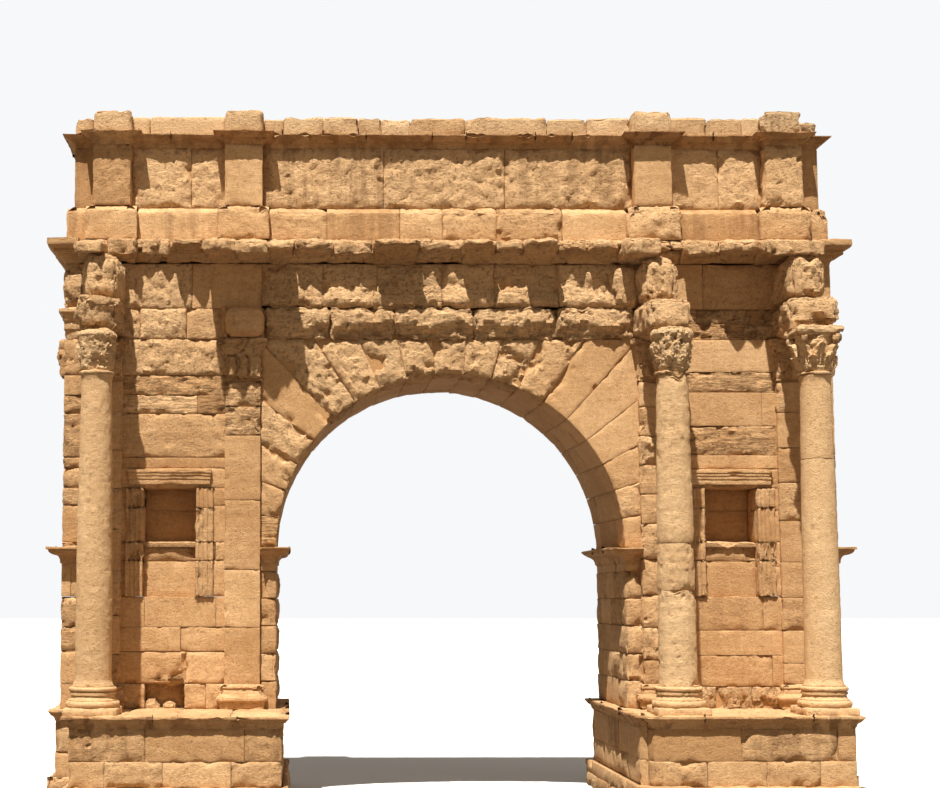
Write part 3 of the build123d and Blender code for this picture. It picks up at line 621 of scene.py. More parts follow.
# Each moulding's members as moulding() reads them
PODIUM_CORNICE = [("line", 0.10, 0.0), ("line", 0.0, 0.12), ("hollow", 0.38, 0.40), ("line", 0.30, 0.40),
                  ("line", 0.0, 0.08), ("line", 0.22, 0.0)]
IMPOST = [("line", 0.32, 0.0), ("line", 0.0, 0.10), ("line", 0.07, 0.0), ("hollow", 0.27, 0.31),
          ("round", 0.22, 0.46), ("line", 0.0, 0.13), ("line", 0.12, 0.0)]
LINTEL = [("line", 0.34, 0.0), ("line", 0.0, 0.20), ("line", 0.24, 0.0), ("line", 0.0, 0.22),
          ("line", 0.20, 0.0), ("line", 0.0, 0.22), ("line", 0.22, 0.0)]
FOOT = [("line", 0.27, 0.0), ("torus", 0.29, 0.0), ("line", 0.05, 0.28), ("hollow", 0.17, 0.29),
        ("torus", 0.17, 0.0), ("line", 0.05, 0.43)]
HEAD = [("torus", 0.07, 0.0), ("line", 0.45, 0.17), ("hollow", 0.35, 0.83), ("line", 0.13, 0.0)]
ARCHITRAVE = [("line", 0.28, 0.0), ("line", 0.0, 0.18), ("line", 0.30, 0.0), ("line", 0.0, 0.23),
              ("line", 0.21, 0.0), ("round", 0.11, 0.59), ("line", 0.10, 0.0)]
CORNICE = [("hollow", 0.27, 0.35), ("line", 0.10, 0.0), ("line", 0.0, 0.25), ("line", 0.18, 0.0),
           ("round", 0.23, 0.40), ("line", 0.22, 0.0)]
ATTIC_CORNICE = [("line", 0.10, 0.0), ("hollow", 0.30, 0.35), ("line", 0.10, 0.0), ("line", 0.0, 0.10),
                 ("line", 0.38, 0.45), ("line", 0.0, 0.10), ("line", 0.12, 0.0)]


# Places

def low_of(node):
    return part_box(node)[0]


def high_of(node):
    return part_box(node)[1]


front, back = low_of("frieze").y, high_of("frieze").y
end_x = high_of("frieze").x
opening = low_of("pier_right").x
fan = high_of("voussoirs_even").x
podium_head = low_of("pier_right").z
impost_foot = low_of("imposts_right").z
springing = low_of("voussoirs_even").z
architrave_foot = low_of("architrave").z
frieze_foot = low_of("frieze").z
frieze_head = high_of("frieze").z
cornice_head = high_of("cornice").z
attic_base_head = high_of("attic_base").z
attic_wall_head = high_of("attic_wall").z
attic_cornice_head = high_of("attic_cornice").z
coping_head = high_of("coping").z
attic_x = high_of("attic_wall").x
attic_front, attic_back = low_of("attic_wall").y, high_of("attic_wall").y
niche_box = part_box("niche_jambs_right")
niche_foot, niche_head = niche_box[0].z, niche_box[1].z
niche_x = (niche_box[0].x + niche_box[1].x) / 2
jamb_half = (niche_box[1].x - niche_box[0].x) / 2
niche_half = (high_of("niche_fill_right").x - low_of("niche_fill_right").x) / 2
fill_head = high_of("niche_fill_right").z
column_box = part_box("column_shaft_right_outer")
column_y = (column_box[0].y + column_box[1].y) / 2
outer_x = (column_box[0].x + column_box[1].x) / 2
inner_x = (low_of("column_shaft_right_inner").x + high_of("column_shaft_right_inner").x) / 2
capital_foot = low_of("capital_right_outer").z
SIDES = {-1: "left", 1: "right"}
SITES = {"left_outer": -outer_x, "left_inner": -inner_x, "right_inner": inner_x, "right_outer": outer_x}

# Half widths, and how far each stands out: the flat pilasters, their feet, the attic's pilasters
RESPOND_HALF, RESPOND_OUT = 0.305, 0.08
FOOT_HALF, FOOT_OUT = 0.375, 0.15
PILASTER_HALF, PILASTER_OUT = 0.325, 0.24

# How deep a niche is, how far back its closing stones lie, and where their joints run
NICHE_DEPTH = 0.6
FILL_BACK = 0.16
FILL_COURSE = 0.60
BACK_COURSE = 0.55

# How far a face runs on under its neighbour
LAP = 0.02


# Finishes

def node(tree, kind, **settings):
    made = tree.nodes.new(kind)
    for key, value in settings.items():
        setattr(made, key, value)
    return made


def maths(tree, operation, *inputs, clamp=False):
    made = node(tree, "ShaderNodeMath", operation=operation, use_clamp=clamp)
    for i, value in enumerate(inputs):
        if isinstance(value, (int, float)):
            made.inputs[i].default_value = value
        else:
            tree.links.new(value, made.inputs[i])
    return made.outputs[0]


def mixed(tree, factor, a, b):
    made = node(tree, "ShaderNodeMix", data_type="RGBA")
    for socket, value in ((made.inputs[0], factor), (made.inputs[6], a), (made.inputs[7], b)):
        if hasattr(value, "is_linked"):
            tree.links.new(value, socket)
        else:
            socket.default_value = value
    return made.outputs[2]


def noise_of(tree, vector, scale, stretch=(1, 1, 1), detail=4.0, roughness=0.55):
    mapped = node(tree, "ShaderNodeMapping")
    mapped.inputs["Scale"].default_value = stretch
    tree.links.new(vector, mapped.inputs["Vector"])
    made = node(tree, "ShaderNodeTexNoise")
    made.inputs["Scale"].default_value = scale
    made.inputs["Detail"].default_value = detail
    made.inputs["Roughness"].default_value = roughness
    tree.links.new(mapped.outputs[0], made.inputs["Vector"])
    return made.outputs["Fac"]


def ranged(tree, value, low, high, to_low=0.0, to_high=1.0):
    made = node(tree, "ShaderNodeMapRange")
    tree.links.new(value, made.inputs["Value"])
    for name, number in (("From Min", low), ("From Max", high), ("To Min", to_low), ("To Max", to_high)):
        made.inputs[name].default_value = number
    return made.outputs["Result"]


def sandstone_group():
    """Weathered sandstone: colour with painted shade in its hollows and cracks, height for the bump and
    roughness from a few named inputs.
    """
    tree = bpy.data.node_groups.new("weathered sandstone", "ShaderNodeTree")
    face = tree.interface
    for name, value in (("Light", (0.8, 0.6, 0.35, 1)), ("Mid", (0.6, 0.4, 0.2, 1)),
                        ("Deep", (0.3, 0.17, 0.08, 1)), ("Tone", 0.5), ("Hollow", 0.0), ("Stain", 0.0),
                        ("Coarse", 0.3), ("Beds", 0.0)):
        kind = "NodeSocketFloat" if isinstance(value, float) else "NodeSocketColor"
        face.new_socket(name, in_out="INPUT", socket_type=kind).default_value = value
    for name, kind in (("Colour", "Color"), ("Height", "Float"), ("Roughness", "Float")):
        face.new_socket(name, in_out="OUTPUT", socket_type=f"NodeSocket{kind}")
    into, out = node(tree, "NodeGroupInput"), node(tree, "NodeGroupOutput")
    place = node(tree, "ShaderNodeTexCoord").outputs["Object"]
    coarse = into.outputs["Coarse"]

    def times(a, b):
        return maths(tree, "MULTIPLY", a, b)

    def plus(a, b):
        return maths(tree, "ADD", a, b)

    def minus(a, b):
        return maths(tree, "SUBTRACT", a, b)

    def darkened(amount):
        return mixed(tree, amount, colour, deep)

    patches = noise_of(tree, place, 1.1, detail=5)
    beds = noise_of(tree, place, 2.2, (1, 1, 7.0), detail=4)
    grain = noise_of(tree, place, 46.0, detail=6, roughness=0.72)
    blotch = noise_of(tree, place, 7.0, detail=5, roughness=0.65)
    drip = noise_of(tree, place, 4.6, (1, 1, 0.10), detail=4)
    crumb = noise_of(tree, place, 17.0, (1, 1, 1.15), detail=8, roughness=0.70)
    seam = noise_of(tree, place, 2.4, (1, 1, 6.5), detail=8, roughness=0.64)

    lightness = plus(ranged(tree, patches, 0.3, 0.7, -0.22, 0.22), into.outputs["Tone"])
    lightness = plus(lightness, ranged(tree, coarse, 0.0, 1.0, -0.27, 0.36))
    lightness = plus(lightness, ranged(tree, beds, 0.3, 0.7, -0.13, 0.13))
    lightness = plus(lightness, ranged(tree, blotch, 0.3, 0.7, -0.20, 0.20))
    lightness = maths(tree, "ADD", lightness, ranged(tree, grain, 0.3, 0.7, -0.42, 0.42), clamp=True)
    colour = mixed(tree, lightness, into.outputs["Mid"], into.outputs["Light"])
    deep = into.outputs["Deep"]
    # painted shade: the Hollow input darkens pits, undersides and joints towards the deep colour
    hollow = times(into.outputs["Hollow"], ranged(tree, blotch, 0.25, 0.6, 0.55, 1.0))
    colour = darkened(times(hollow, 0.85))
    # a stain of 1 runs down in streaks; what goes beyond 1 darkens the whole stone, partly as stain and
    # partly as painted shade
    whole_stone_shade = maths(tree, "MAXIMUM", minus(into.outputs["Stain"], 1.0), 0.0)
    stain_streak_and_shade = times(into.outputs["Stain"], ranged(tree, drip, 0.45, 0.60))
    stain_streak_and_shade = maths(tree, "ADD", stain_streak_and_shade, whole_stone_shade, clamp=True)
    colour = darkened(times(stain_streak_and_shade, 0.78))
    # pits are denser on coarse stones, cracks run along the beds; the colour darkens in the pits, in the low
    # ground between the crumbs and in the cracks, as painted shade
    sunken = minus(crumb, times(coarse, 0.050))
    pit = times(ranged(tree, sunken, 0.33, 0.39, 1.0, 0.0), plus(times(coarse, 0.7), 0.3))
    colour = darkened(times(pit, 0.42))
    colour = darkened(times(ranged(tree, sunken, 0.36, 0.50, 1.0, 0.0), 0.18))
    off_seam = maths(tree, "ABSOLUTE", minus(seam, 0.5))
    parted = plus(into.outputs["Beds"], times(coarse, ranged(tree, blotch, 0.52, 0.64, 0.0, 0.6)))
    crack = maths(tree, "MULTIPLY", ranged(tree, off_seam, 0.002, 0.020, 1.0, 0.0), parted, clamp=True)
    colour = darkened(times(crack, 0.55))

    height = plus(times(grain, 0.42), times(crumb, plus(times(coarse, 1.6), 0.10)))
    height = minus(minus(height, times(pit, 0.26)), times(crack, 0.28))
    height = plus(height, times(beds, times(into.outputs["Beds"], 0.6)))
    tree.links.new(colour, out.inputs["Colour"])
    tree.links.new(height, out.inputs["Height"])
    tree.links.new(ranged(tree, grain, 0.2, 0.8, 0.82, 0.97), out.inputs["Roughness"])
    return tree


SANDSTONE = sandstone_group()


def stone_finish(name, light, mid, deep):
    material = bpy.data.materials.new(name)
    material.use_nodes = True
    tree = material.node_tree
    shader = tree.nodes["Principled BSDF"]
    shader.inputs["Specular IOR Level"].default_value = 0.25
    group = node(tree, "ShaderNodeGroup", node_tree=SANDSTONE)
    for name, colour in (("Light", light), ("Mid", mid), ("Deep", deep)):
        group.inputs[name].default_value = colour + (1,)
    for attribute in ("tone", "hollow", "stain", "coarse", "beds"):
        read = node(tree, "ShaderNodeAttribute", attribute_name=attribute)
        tree.links.new(read.outputs["Fac"], group.inputs[attribute.capitalize()])
    bump = node(tree, "ShaderNodeBump")
    bump.inputs["Strength"].default_value = 0.9
    bump.inputs["Distance"].default_value = 0.050
    tree.links.new(group.outputs["Height"], bump.inputs["Height"])
    tree.links.new(group.outputs["Colour"], shader.inputs["Base Color"])
    tree.links.new(group.outputs["Roughness"], shader.inputs["Roughness"])
    tree.links.new(bump.outputs["Normal"], shader.inputs["Normal"])
    return material


WALL = stone_finish("wall sandstone", (0.83, 0.530, 0.272), (0.520, 0.288, 0.124), (0.165, 0.070, 0.022))
ARCH = stone_finish("arch sandstone", (0.85, 0.548, 0.284), (0.550, 0.308, 0.134), (0.170, 0.073, 0.023))
CARVED = stone_finish("carved sandstone", (0.83, 0.532, 0.273), (0.510, 0.282, 0.122), (0.150, 0.063, 0.020))
COLUMN = stone_finish("column sandstone", (0.83, 0.560, 0.302), (0.590, 0.352, 0.166), (0.180, 0.080, 0.028))
COPING = stone_finish("coping sandstone", (0.76, 0.520, 0.292), (0.540, 0.322, 0.150), (0.185, 0.086, 0.030))


# Podiums

def flip(points, side):
    """The same corners on the left or the right half, in the path's direction."""
    if side > 0:
        return list(points)
    return [(-x, y) for x, y in reversed(points)]


# The podium's front ends a little past the outer column and steps back there; the right podium's
# inner front corner is broken off
PAST_COLUMN = 0.32
END_STEP = 0.06
BROKEN_CORNER = [(0.0, 0.34), (0.10, 0.22), (0.16, 0.05), (0.30, 0.0)]

# How high its lower course is, how far its cornice stands out, how far below a top the plain bed
# lies, and how far the top runs in under the wall's uneven foot
DIE_COURSE = 0.40
CORNICE_OVER = 0.12
BED_BELOW = 0.028
TOP_LAP = 0.12


def podium(side):
    name = SIDES[side]
    foot_box, die_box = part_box(f"podium_footing_{name}"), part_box(f"podium_{name}")
    cornice_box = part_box(f"podium_cornice_{name}")
    inner, outer = sorted((abs(die_box[0].x), abs(die_box[1].x)))
    front_y, back_y = die_box[0].y, die_box[1].y
    step_y = front - END_STEP
    front_end = outer_x + PAST_COLUMN
    broken = side > 0

    def plan(grow, cut=False):
        corner = [(inner - grow, front_y - grow)]
        if cut:
            corner = [(inner + x, front_y + y) for x, y in BROKEN_CORNER]
        return Path(flip(corner + [
            (front_end + grow, front_y - grow), (front_end + grow, step_y - grow),
            (outer + grow, step_y - grow), (outer + grow, back_y + grow), (inner - grow, back_y + grow),
        ], side), closed=True)

    def level(mass, x0, x1, y0, y1, z, style, cuts):
        """A top between two places on either side, and a plain bed just below it, which shows
        where a corner is worn through."""
        x0, x1 = sorted((side * x0, side * x1))
        slab(mass, (x0, y0, z), *LEVEL, x1 - x0, y1 - y0, style, cuts=cuts)
        slab(mass, (x0 + LAP, y0 + LAP, z - BED_BELOW), *LEVEL, x1 - x0 - 2 * LAP,
             y1 - y0 - 2 * LAP, PLAIN, cell=PLAIN_CELL)

    def underside(mass, x0, x1, y0, y1):
        x0, x1 = sorted((side * x0, side * x1))
        slab(mass, (x0, y0, 0.0), *LEVEL[::-1], y1 - y0, x1 - x0, SMOOTH, cuts=(3, 1), cell=PLAIN_CELL)

    grow = abs(foot_box[0].y - front_y)
    stones = Masonry(f"podium_{name}_stones")
    low, middle = plan(grow), plan(0, broken)
    half, top, head = foot_box[1].z / 2, foot_box[1].z, die_box[1].z
    break_z = top + DIE_COURSE
    for line, profile, length, seed, kinds in (
        (low, [(0.0, 0.0), (0.0, half)], 1.15, 3,
         [styled(WORN, 0.45), styled(BROKEN, 0.42, wear=0.045), styled(DRESSED, 0.5)]),
        (low, [(-LAP, half), (-LAP, top)], 1.35, 9, [styled(WORN, 0.52), styled(DRESSED, 0.56)]),
        (middle, [(0, top), (0, break_z)], 1.0, 15, [styled(WORN, 0.55), styled(DRESSED, 0.6)]),
        (middle, [(0, break_z), (0, head)], 1.45, 21,
         [styled(DRESSED, 0.48), styled(WORN, 0.42, stain=0.5)]),
    ):
        run(stones, line, profile, kinds, joints_along(line, length, seed + side))
    level(stones, inner - grow, front_end + grow, front_y - grow, front_y + (0.4 if broken else 0.05), top,
          styled(WORN, 0.7), (4, 1))
    level(stones, inner - grow, outer + grow, back_y - 0.05, back_y + grow, top,
          styled(DRESSED, 0.7), (4, 1))
    underside(stones, inner - grow, front_end + grow, front_y - grow, step_y - grow)
    underside(stones, inner - grow, outer + grow, step_y - grow, back_y + grow)
    stones.finish("wall_stone", [f"podium_footing_{name}", f"podium_{name}"], WALL)

    moulded = Masonry(f"podium_cornice_{name}_stones")
    foot, head = cornice_box[0].z, cornice_box[1].z
    shape = moulding(PODIUM_CORNICE, head - foot, CORNICE_OVER, 0.0, foot)
    shape += [(CORNICE_OVER - 0.06, head), (CORNICE_OVER - 0.2, head)]
    kinds = [styled(MOULDED, 0.58, stain=0.7), styled(MOULDED, 0.5, rough=0.018, wear=0.03),
             styled(MOULDED, 0.6, stain=0.9)]
    run(moulded, middle, shape, kinds, joints_along(middle, 1.3, 33 + side), cell_up=0.04, core=0.02)
    z, reach = head - 0.004, front + TOP_LAP
    tops = styled(WORN, 0.72, wear=0.02)
    if broken:
        level(moulded, inner + 0.30, front_end, front_y - LAP, reach, z, tops, (4, 2))
        level(moulded, inner - LAP, inner + 0.30, front_y + 0.34, reach, z, tops, (1, 2))
        level(moulded, inner + 0.05, inner + 0.31, front_y + 0.11, front_y + 0.35, z - 0.012, tops, (1, 1))
    else:
        level(moulded, inner - LAP, front_end, front_y - LAP, reach, z, tops, (4, 2))
    level(moulded, front_end - 0.1, outer + LAP, step_y - LAP, back_y + LAP, z, tops, (1, 3))
    level(moulded, inner - LAP, outer + LAP, back - LAP, back_y + LAP, z, tops, (4, 1))
    level(moulded, inner - LAP, opening + LAP, front - LAP, back + LAP, z, tops, (1, 3))
    moulded.finish("carved_stone", [f"podium_cornice_{name}"], CARVED)


# Piers

# The beds of the courses above the podium, in metres, and what each course looks like
LEFT_BEDS = [0, 0.42, 0.96, 1.37, 1.88, 2.49, 2.80, 3.42, 3.72, 4.06, 4.24, 4.99, 5.31, 5.65, 6.28]
RIGHT_BEDS = [0, 0.37, 0.89, 1.31, 1.88, 2.39, 2.80, 3.34, 3.72, 4.06, 4.29, 4.79, 5.37, 5.72, 6.28]
LEFT_KINDS = [WORN, styled(DRESSED, wear=0.07), DRESSED, SMOOTH, DRESSED, WORN, DRESSED, DRESSED, DRESSED,
              SMOOTH, WORN, BEDDED, BEDDED, QUARRY]
RIGHT_KINDS = [BROKEN, DRESSED, SMOOTH, DRESSED, DRESSED, DRESSED, DRESSED, DRESSED, DRESSED, SMOOTH,
               BEDDED, SMOOTH, BEDDED, SMOOTH]
UNSEEN_KINDS = [DRESSED, WORN, DRESSED, styled(WORN, layers=0.02)]

# A bed this close to the foot or the head of the niche is moved to it
BED_SNAP = 0.12

# Upright joints on the front between the responds, as shares of that wall from its left end
LEFT_JOINTS = {1: [0.635], 2: [0.58], 3: [0.23, 0.92], 11: [0.73]}
RIGHT_JOINTS = {0: [0.35, 0.7], 1: [0.90], 3: [0.825], 11: [0.86]}

# The hollow at the foot of the left wall, where its next stone ends, and the stones that lie in it
# as (left end, right end, depth, height)
CAVITY = (4.51, 5.18)
CAVITY_DEPTH = 0.26
CUBE_END = 4.15
CAVITY_STONES = ((-5.16, -4.92, 0.10, 0.16), (-4.86, -4.66, 0.14, 0.10))

# The passage side: its courses, and how far behind their faces a plain inner wall closes the joints
JAMB_COURSES = 5
INNER_WALL = 0.07


def pier_joints(path, side, course, seed, length):
    """The joints of a course: as photographed on the front, near-even on the end and the back."""
    wall = outer_x - inner_x - 2 * RESPOND_HALF
    left = (-outer_x if side < 0 else inner_x) + RESPOND_HALF
    shares = (LEFT_JOINTS if side < 0 else RIGHT_JOINTS).get(course, [])
    places = [left + share * wall for share in shares] + [side * inner_x, side * outer_x]
    at = [path.length + fan + x if side < 0 else x - fan for x in places]
    across = end_x - fan
    hidden = [u for u in joints_along(path, length, seed)
              if (u < path.length - across - 0.3 if side < 0 else u > across + 0.3)]
    return sorted(at + hidden)


def wall_courses(stones, side, beds):
    """The courses of a pier; those at the height of the niches are parted by them."""
    kinds = RIGHT_KINDS if side > 0 else LEFT_KINDS
    low, high = niche_x - niche_half, niche_x + niche_half
    inner_cut, outer_cut = CAVITY
    deep = front + CAVITY_DEPTH
    whole = [[(fan, front), (end_x, front), (end_x, back), (fan, back)]]
    hollowed = [[(fan, front), (inner_cut, front), (inner_cut, deep), (outer_cut, deep), (outer_cut, front),
                 (end_x, front), (end_x, back), (fan, back)]]
    parted = [
        [(high, front + NICHE_DEPTH), (high, front), (end_x, front), (end_x, back), (high, back),
         (high, back - NICHE_DEPTH)],
        [(fan, front), (low, front), (low, front + NICHE_DEPTH)],
        [(low, back - NICHE_DEPTH), (low, back), (fan, back)],
    ]
    for i, (z0, z1) in enumerate(zip(beds[:-1], beds[1:])):
        inside = niche_foot - 0.01 < z0 and z1 < niche_head + 0.01
        cavity = side < 0 and i == 0
        for k, corners in enumerate(parted if inside else hollowed if cavity else whole):
            path = Path(flip(corners, side))
            own = np.random.default_rng(i * 5 + k + 40 * (side > 0))

            def style(x, y, kind=kinds[i], own=own):
                unseen = y > front + 0.05 or abs(x) > outer_x + 0.3
                base = UNSEEN_KINDS[int(own.integers(4))] if unseen else kind
                return styled(base, 0.5 + own.normal(0, 0.07), stain=0.25 if own.random() < 0.3 else 0.0)

            length, seed = 1.05 if z1 - z0 > 0.45 else 0.8, i * 11 + k + 100 * (side > 0)
            if inside:
                cuts = joints_along(path, length, seed)
            elif cavity:
                cuts = sorted(joints_along(path, length, seed) + [path.length - (CUBE_END - fan)])
            else:
                cuts = pier_joints(path, side, i, seed, length)
            run(stones, path, course(z0, z1), style, cuts)


def hollow_at_foot(stones, foot, head):
    """Top and bottom of the hollow at the foot of the left wall, and the stones that lie in it."""
    inner_cut, outer_cut = CAVITY
    slab(stones, (-outer_cut, front, head), (0, 1, 0), (1, 0, 0), CAVITY_DEPTH, outer_cut - inner_cut,
         styled(BROKEN, 0.35))
    slab(stones, (-outer_cut, front - LAP, foot), *LEVEL, outer_cut - inner_cut,
         CAVITY_DEPTH + LAP, styled(BROKEN, 0.45))
    for x0, x1, deep, tall in CAVITY_STONES:
        boulder(stones, (x0, front + 0.02, foot - 0.03), (x1, front + deep + 0.1, foot + tall), 0.05,
                styled(BROKEN, 0.5, rough=0.03), hidden=((2, -1),))


def passage_side(stones, side):
    strip = Path(flip([(fan, back), (opening, back), (opening, front), (fan, front)], side))
    run(stones, strip, [(-INNER_WALL, podium_head), (-INNER_WALL, springing)], PLAIN, gap=0, cell=0.6)
    levels = list(np.linspace(podium_head, impost_foot, JAMB_COURSES + 1))
    kinds = [styled(WORN, 0.5, wear=0.05), styled(DRESSED, 0.55), styled(QUARRY, 0.5)]
    for i, (z0, z1) in enumerate(zip(levels[:-1], levels[1:])):
        run(stones, strip, course(z0, z1), kinds,
            joints_along(strip, 0.95, 61 + i + 7 * side, shift=0.2 * (i % 2)))


def niche(stones, side, hand):
    """The inside of a niche, on the front (-1) or the back (1): the stones that close its lower
    part, its back wall, and its sill, shelf and head."""
    face, inward = (front, 1) if hand < 0 else (back, -1)
    x0, x1 = sorted((side * (niche_x - niche_half), side * (niche_x + niche_half)))

    def across(depth):
        line = [(x0, face + inward * depth), (x1, face + inward * depth)]
        return Path(line if hand < 0 else line[::-1])

    def shelf(start, z, tone):
        y0, y1 = sorted((face + inward * start, face + inward * NICHE_DEPTH))
        slab(stones, (x0, y0, z), *LEVEL, x1 - x0, y1 - y0, styled(WORN, tone))

    bed, back_bed = niche_foot + FILL_COURSE, fill_head + BACK_COURSE
    shelf(0.01, niche_foot - 0.012, 0.5)
    run(stones, across(FILL_BACK), [(0, niche_foot - 0.01), (0, bed - GAP / 2)], styled(DRESSED, 0.55))
    run(stones, across(FILL_BACK), [(0, bed + GAP / 2), (0, fill_head), (-0.10, fill_head + 0.002)],
        styled(WORN, 0.6, wear=0.05))
    # painted shade: the niche's back wall is toned darker than the stones that close its foot
    for z0, z1 in ((fill_head - 0.05, back_bed), (back_bed + GAP, niche_head)):
        run(stones, across(NICHE_DEPTH - LAP), [(0, z0), (0, z1)], styled(DRESSED, 0.4), cell=0.06)
    shelf(0.1, fill_head - 0.004, 0.75)
    y0, y1 = sorted((face, face + inward * NICHE_DEPTH))
    # painted shade: the niche's head is toned darker too
    slab(stones, (x0, y1, niche_head), (1, 0, 0), (0, -1, 0), x1 - x0, y1 - y0, styled(DRESSED, 0.45))


def pier(side):
    name = SIDES[side]
    stones = Masonry(f"pier_{name}_stones")
    beds = [podium_head + z for z in (RIGHT_BEDS if side > 0 else LEFT_BEDS)]
    beds[-1] = architrave_foot
    for i, z in enumerate(beds):
        for level in (niche_foot, niche_head):
            if abs(z - level) < BED_SNAP:
                beds[i] = level
    wall_courses(stones, side, beds)
    if side < 0:
        hollow_at_foot(stones, beds[0] + 0.003, beds[1])
    passage_side(stones, side)
    for hand in (-1, 1):
        niche(stones, side, hand)
    stones.finish("wall_stone", [f"pier_{name}", f"niche_fill_{name}"], WALL)


# Imposts, niche frames and responds

def imposts(side):
    name = SIDES[side]
    stones = Masonry(f"imposts_{name}_stones")
    shape = moulding(IMPOST, springing - impost_foot, 0.24, 0.0, impost_foot) + [(-0.05, springing)]
    inner = Path(flip([(fan, back), (opening, back), (opening, front), (fan, front)], side))
    start = outer_x + RESPOND_HALF
    outer = Path(flip([(start, front), (end_x, front), (end_x, back), (start, back)], side))
    for line, kinds, cuts in (
        (inner, [styled(MOULDED, 0.5, wear=0.03), styled(MOULDED, 0.5)],
         joints_along(inner, 1.15, 5 + side)),
        (outer, [styled(MOULDED, 0.45), styled(MOULDED, 0.5, rough=0.016)],
         joints_along(outer, 1.0, 15 + side)),
    ):
        run(stones, line, shape, kinds, cuts, cell_up=0.03, core=0.02, caps=styled(DRESSED, 0.5))
    stones.finish("carved_stone", [f"imposts_{name}"], CARVED)


# Beds of the fluted strips beside the niches, above the niche's foot, and the flutes' measures
STRIP_BEDS = (0.60, 0.92, 1.50)
STRIP_OUT, STRIP_BACK = 0.05, 0.10
FLUTE_HALF, FLUTE_DEPTH = 0.019, 0.018
LINTEL_INSET = 0.11


def fluted_line(a, b, face, inward):
    """A strip in plan from a to b, with three flutes in its face."""
    outside = face - inward * STRIP_OUT
    line = [(a, face + inward * STRIP_BACK), (a, outside)]
    for flute in (1, 2, 3):
        middle = a + (b - a) * flute / 4
        for turn in (-1, -0.7, 0, 0.7, 1):
            depth = math.sqrt(max(0.0, 1 - turn * turn)) * FLUTE_DEPTH
            line.append((middle + FLUTE_HALF * turn, face - inward * (STRIP_OUT - depth)))
    return line + [(b, outside), (b, face + inward * STRIP_BACK)]


def niche_frames(side):
    """The moulded lintels over the niches and the fluted strips beside them, front and back."""
    name = SIDES[side]
    stones = Masonry(f"niche_frames_{name}_stones")
    half = jamb_half - LINTEL_INSET
    lintel_foot, lintel_head = (corner.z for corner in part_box(f"niche_lintels_{name}"))
    shape = moulding(LINTEL, lintel_head - lintel_foot, 0.050, 0.05, lintel_foot) + [(-0.03, lintel_head)]
    kinds = [styled(DRESSED, 0.5), styled(BROKEN, 0.45, rough=0.02, wear=0.03),
             styled(WORN, 0.5, rough=0.014), styled(WORN, 0.52, layers=0.01)]
    levels = [niche_foot] + [niche_foot + z for z in STRIP_BEDS] + [niche_head]
    centre = side * niche_x
    for hand in (-1, 1):
        face, inward = (front, 1) if hand < 0 else (back, -1)
        run(stones, three_sides(centre - half, centre + half, face + inward * 0.1, face), shape,
            styled(SMOOTH, 0.66, wear=0.012, pits=0.006, rough=0.004), cell_up=0.02)
        for edge in (-1, 1):
            a, b = sorted((centre + edge * niche_half, centre + edge * jamb_half))
            line = fluted_line(a, b, face, inward)
            for i, (z0, z1) in enumerate(zip(levels[:-1], levels[1:])):
                kind = kinds[(i + (edge > 0) + (side > 0)) % 4]
                run(stones, Path(line if hand < 0 else line[::-1]), [(0, z0 + GAP / 4), (0, z1 - GAP / 4)],
                    kind, cell_up=0.075, rim=())
    stones.finish("carved_stone", [f"niche_lintels_{name}", f"niche_jambs_{name}"], CARVED)


# Beds of the flat pilasters above their feet, and what their stones on the front look like in turn
CRACKED = styled(BEDDED, wear=0.05, rough=0.030)
RESPOND_BEDS = {
    "left_outer": [0.5, 1.15, 1.9, 2.6, 3.3, 3.95, 4.6],
    "left_inner": [0.95, 1.92, 3.1, 4.2, 4.7],
    "right_inner": [0.4, 0.95, 1.5, 2.1, 2.7, 3.2, 3.7, 4.2, 4.7],
    "right_outer": [0.35, 0.9, 1.45, 2.05, 2.75, 3.4, 4.0, 4.6],
}
RESPOND_KINDS = {
    "left_outer": [WORN, DRESSED],
    "left_inner": [styled(SMOOTH, wear=0.022, rough=0.010)] * 4 + [CRACKED] * 2,
    "right_inner": [WORN, QUARRY, WORN],
    "right_outer": [DRESSED, SMOOTH, WORN],
}

# The worn leaves of their heads: how far apart, half as wide, from where to where above the foot
LEAF_STEP, LEAF_HALF = 0.2, 0.085
LEAF_FOOT, LEAF_HEAD = 0.06, 0.42


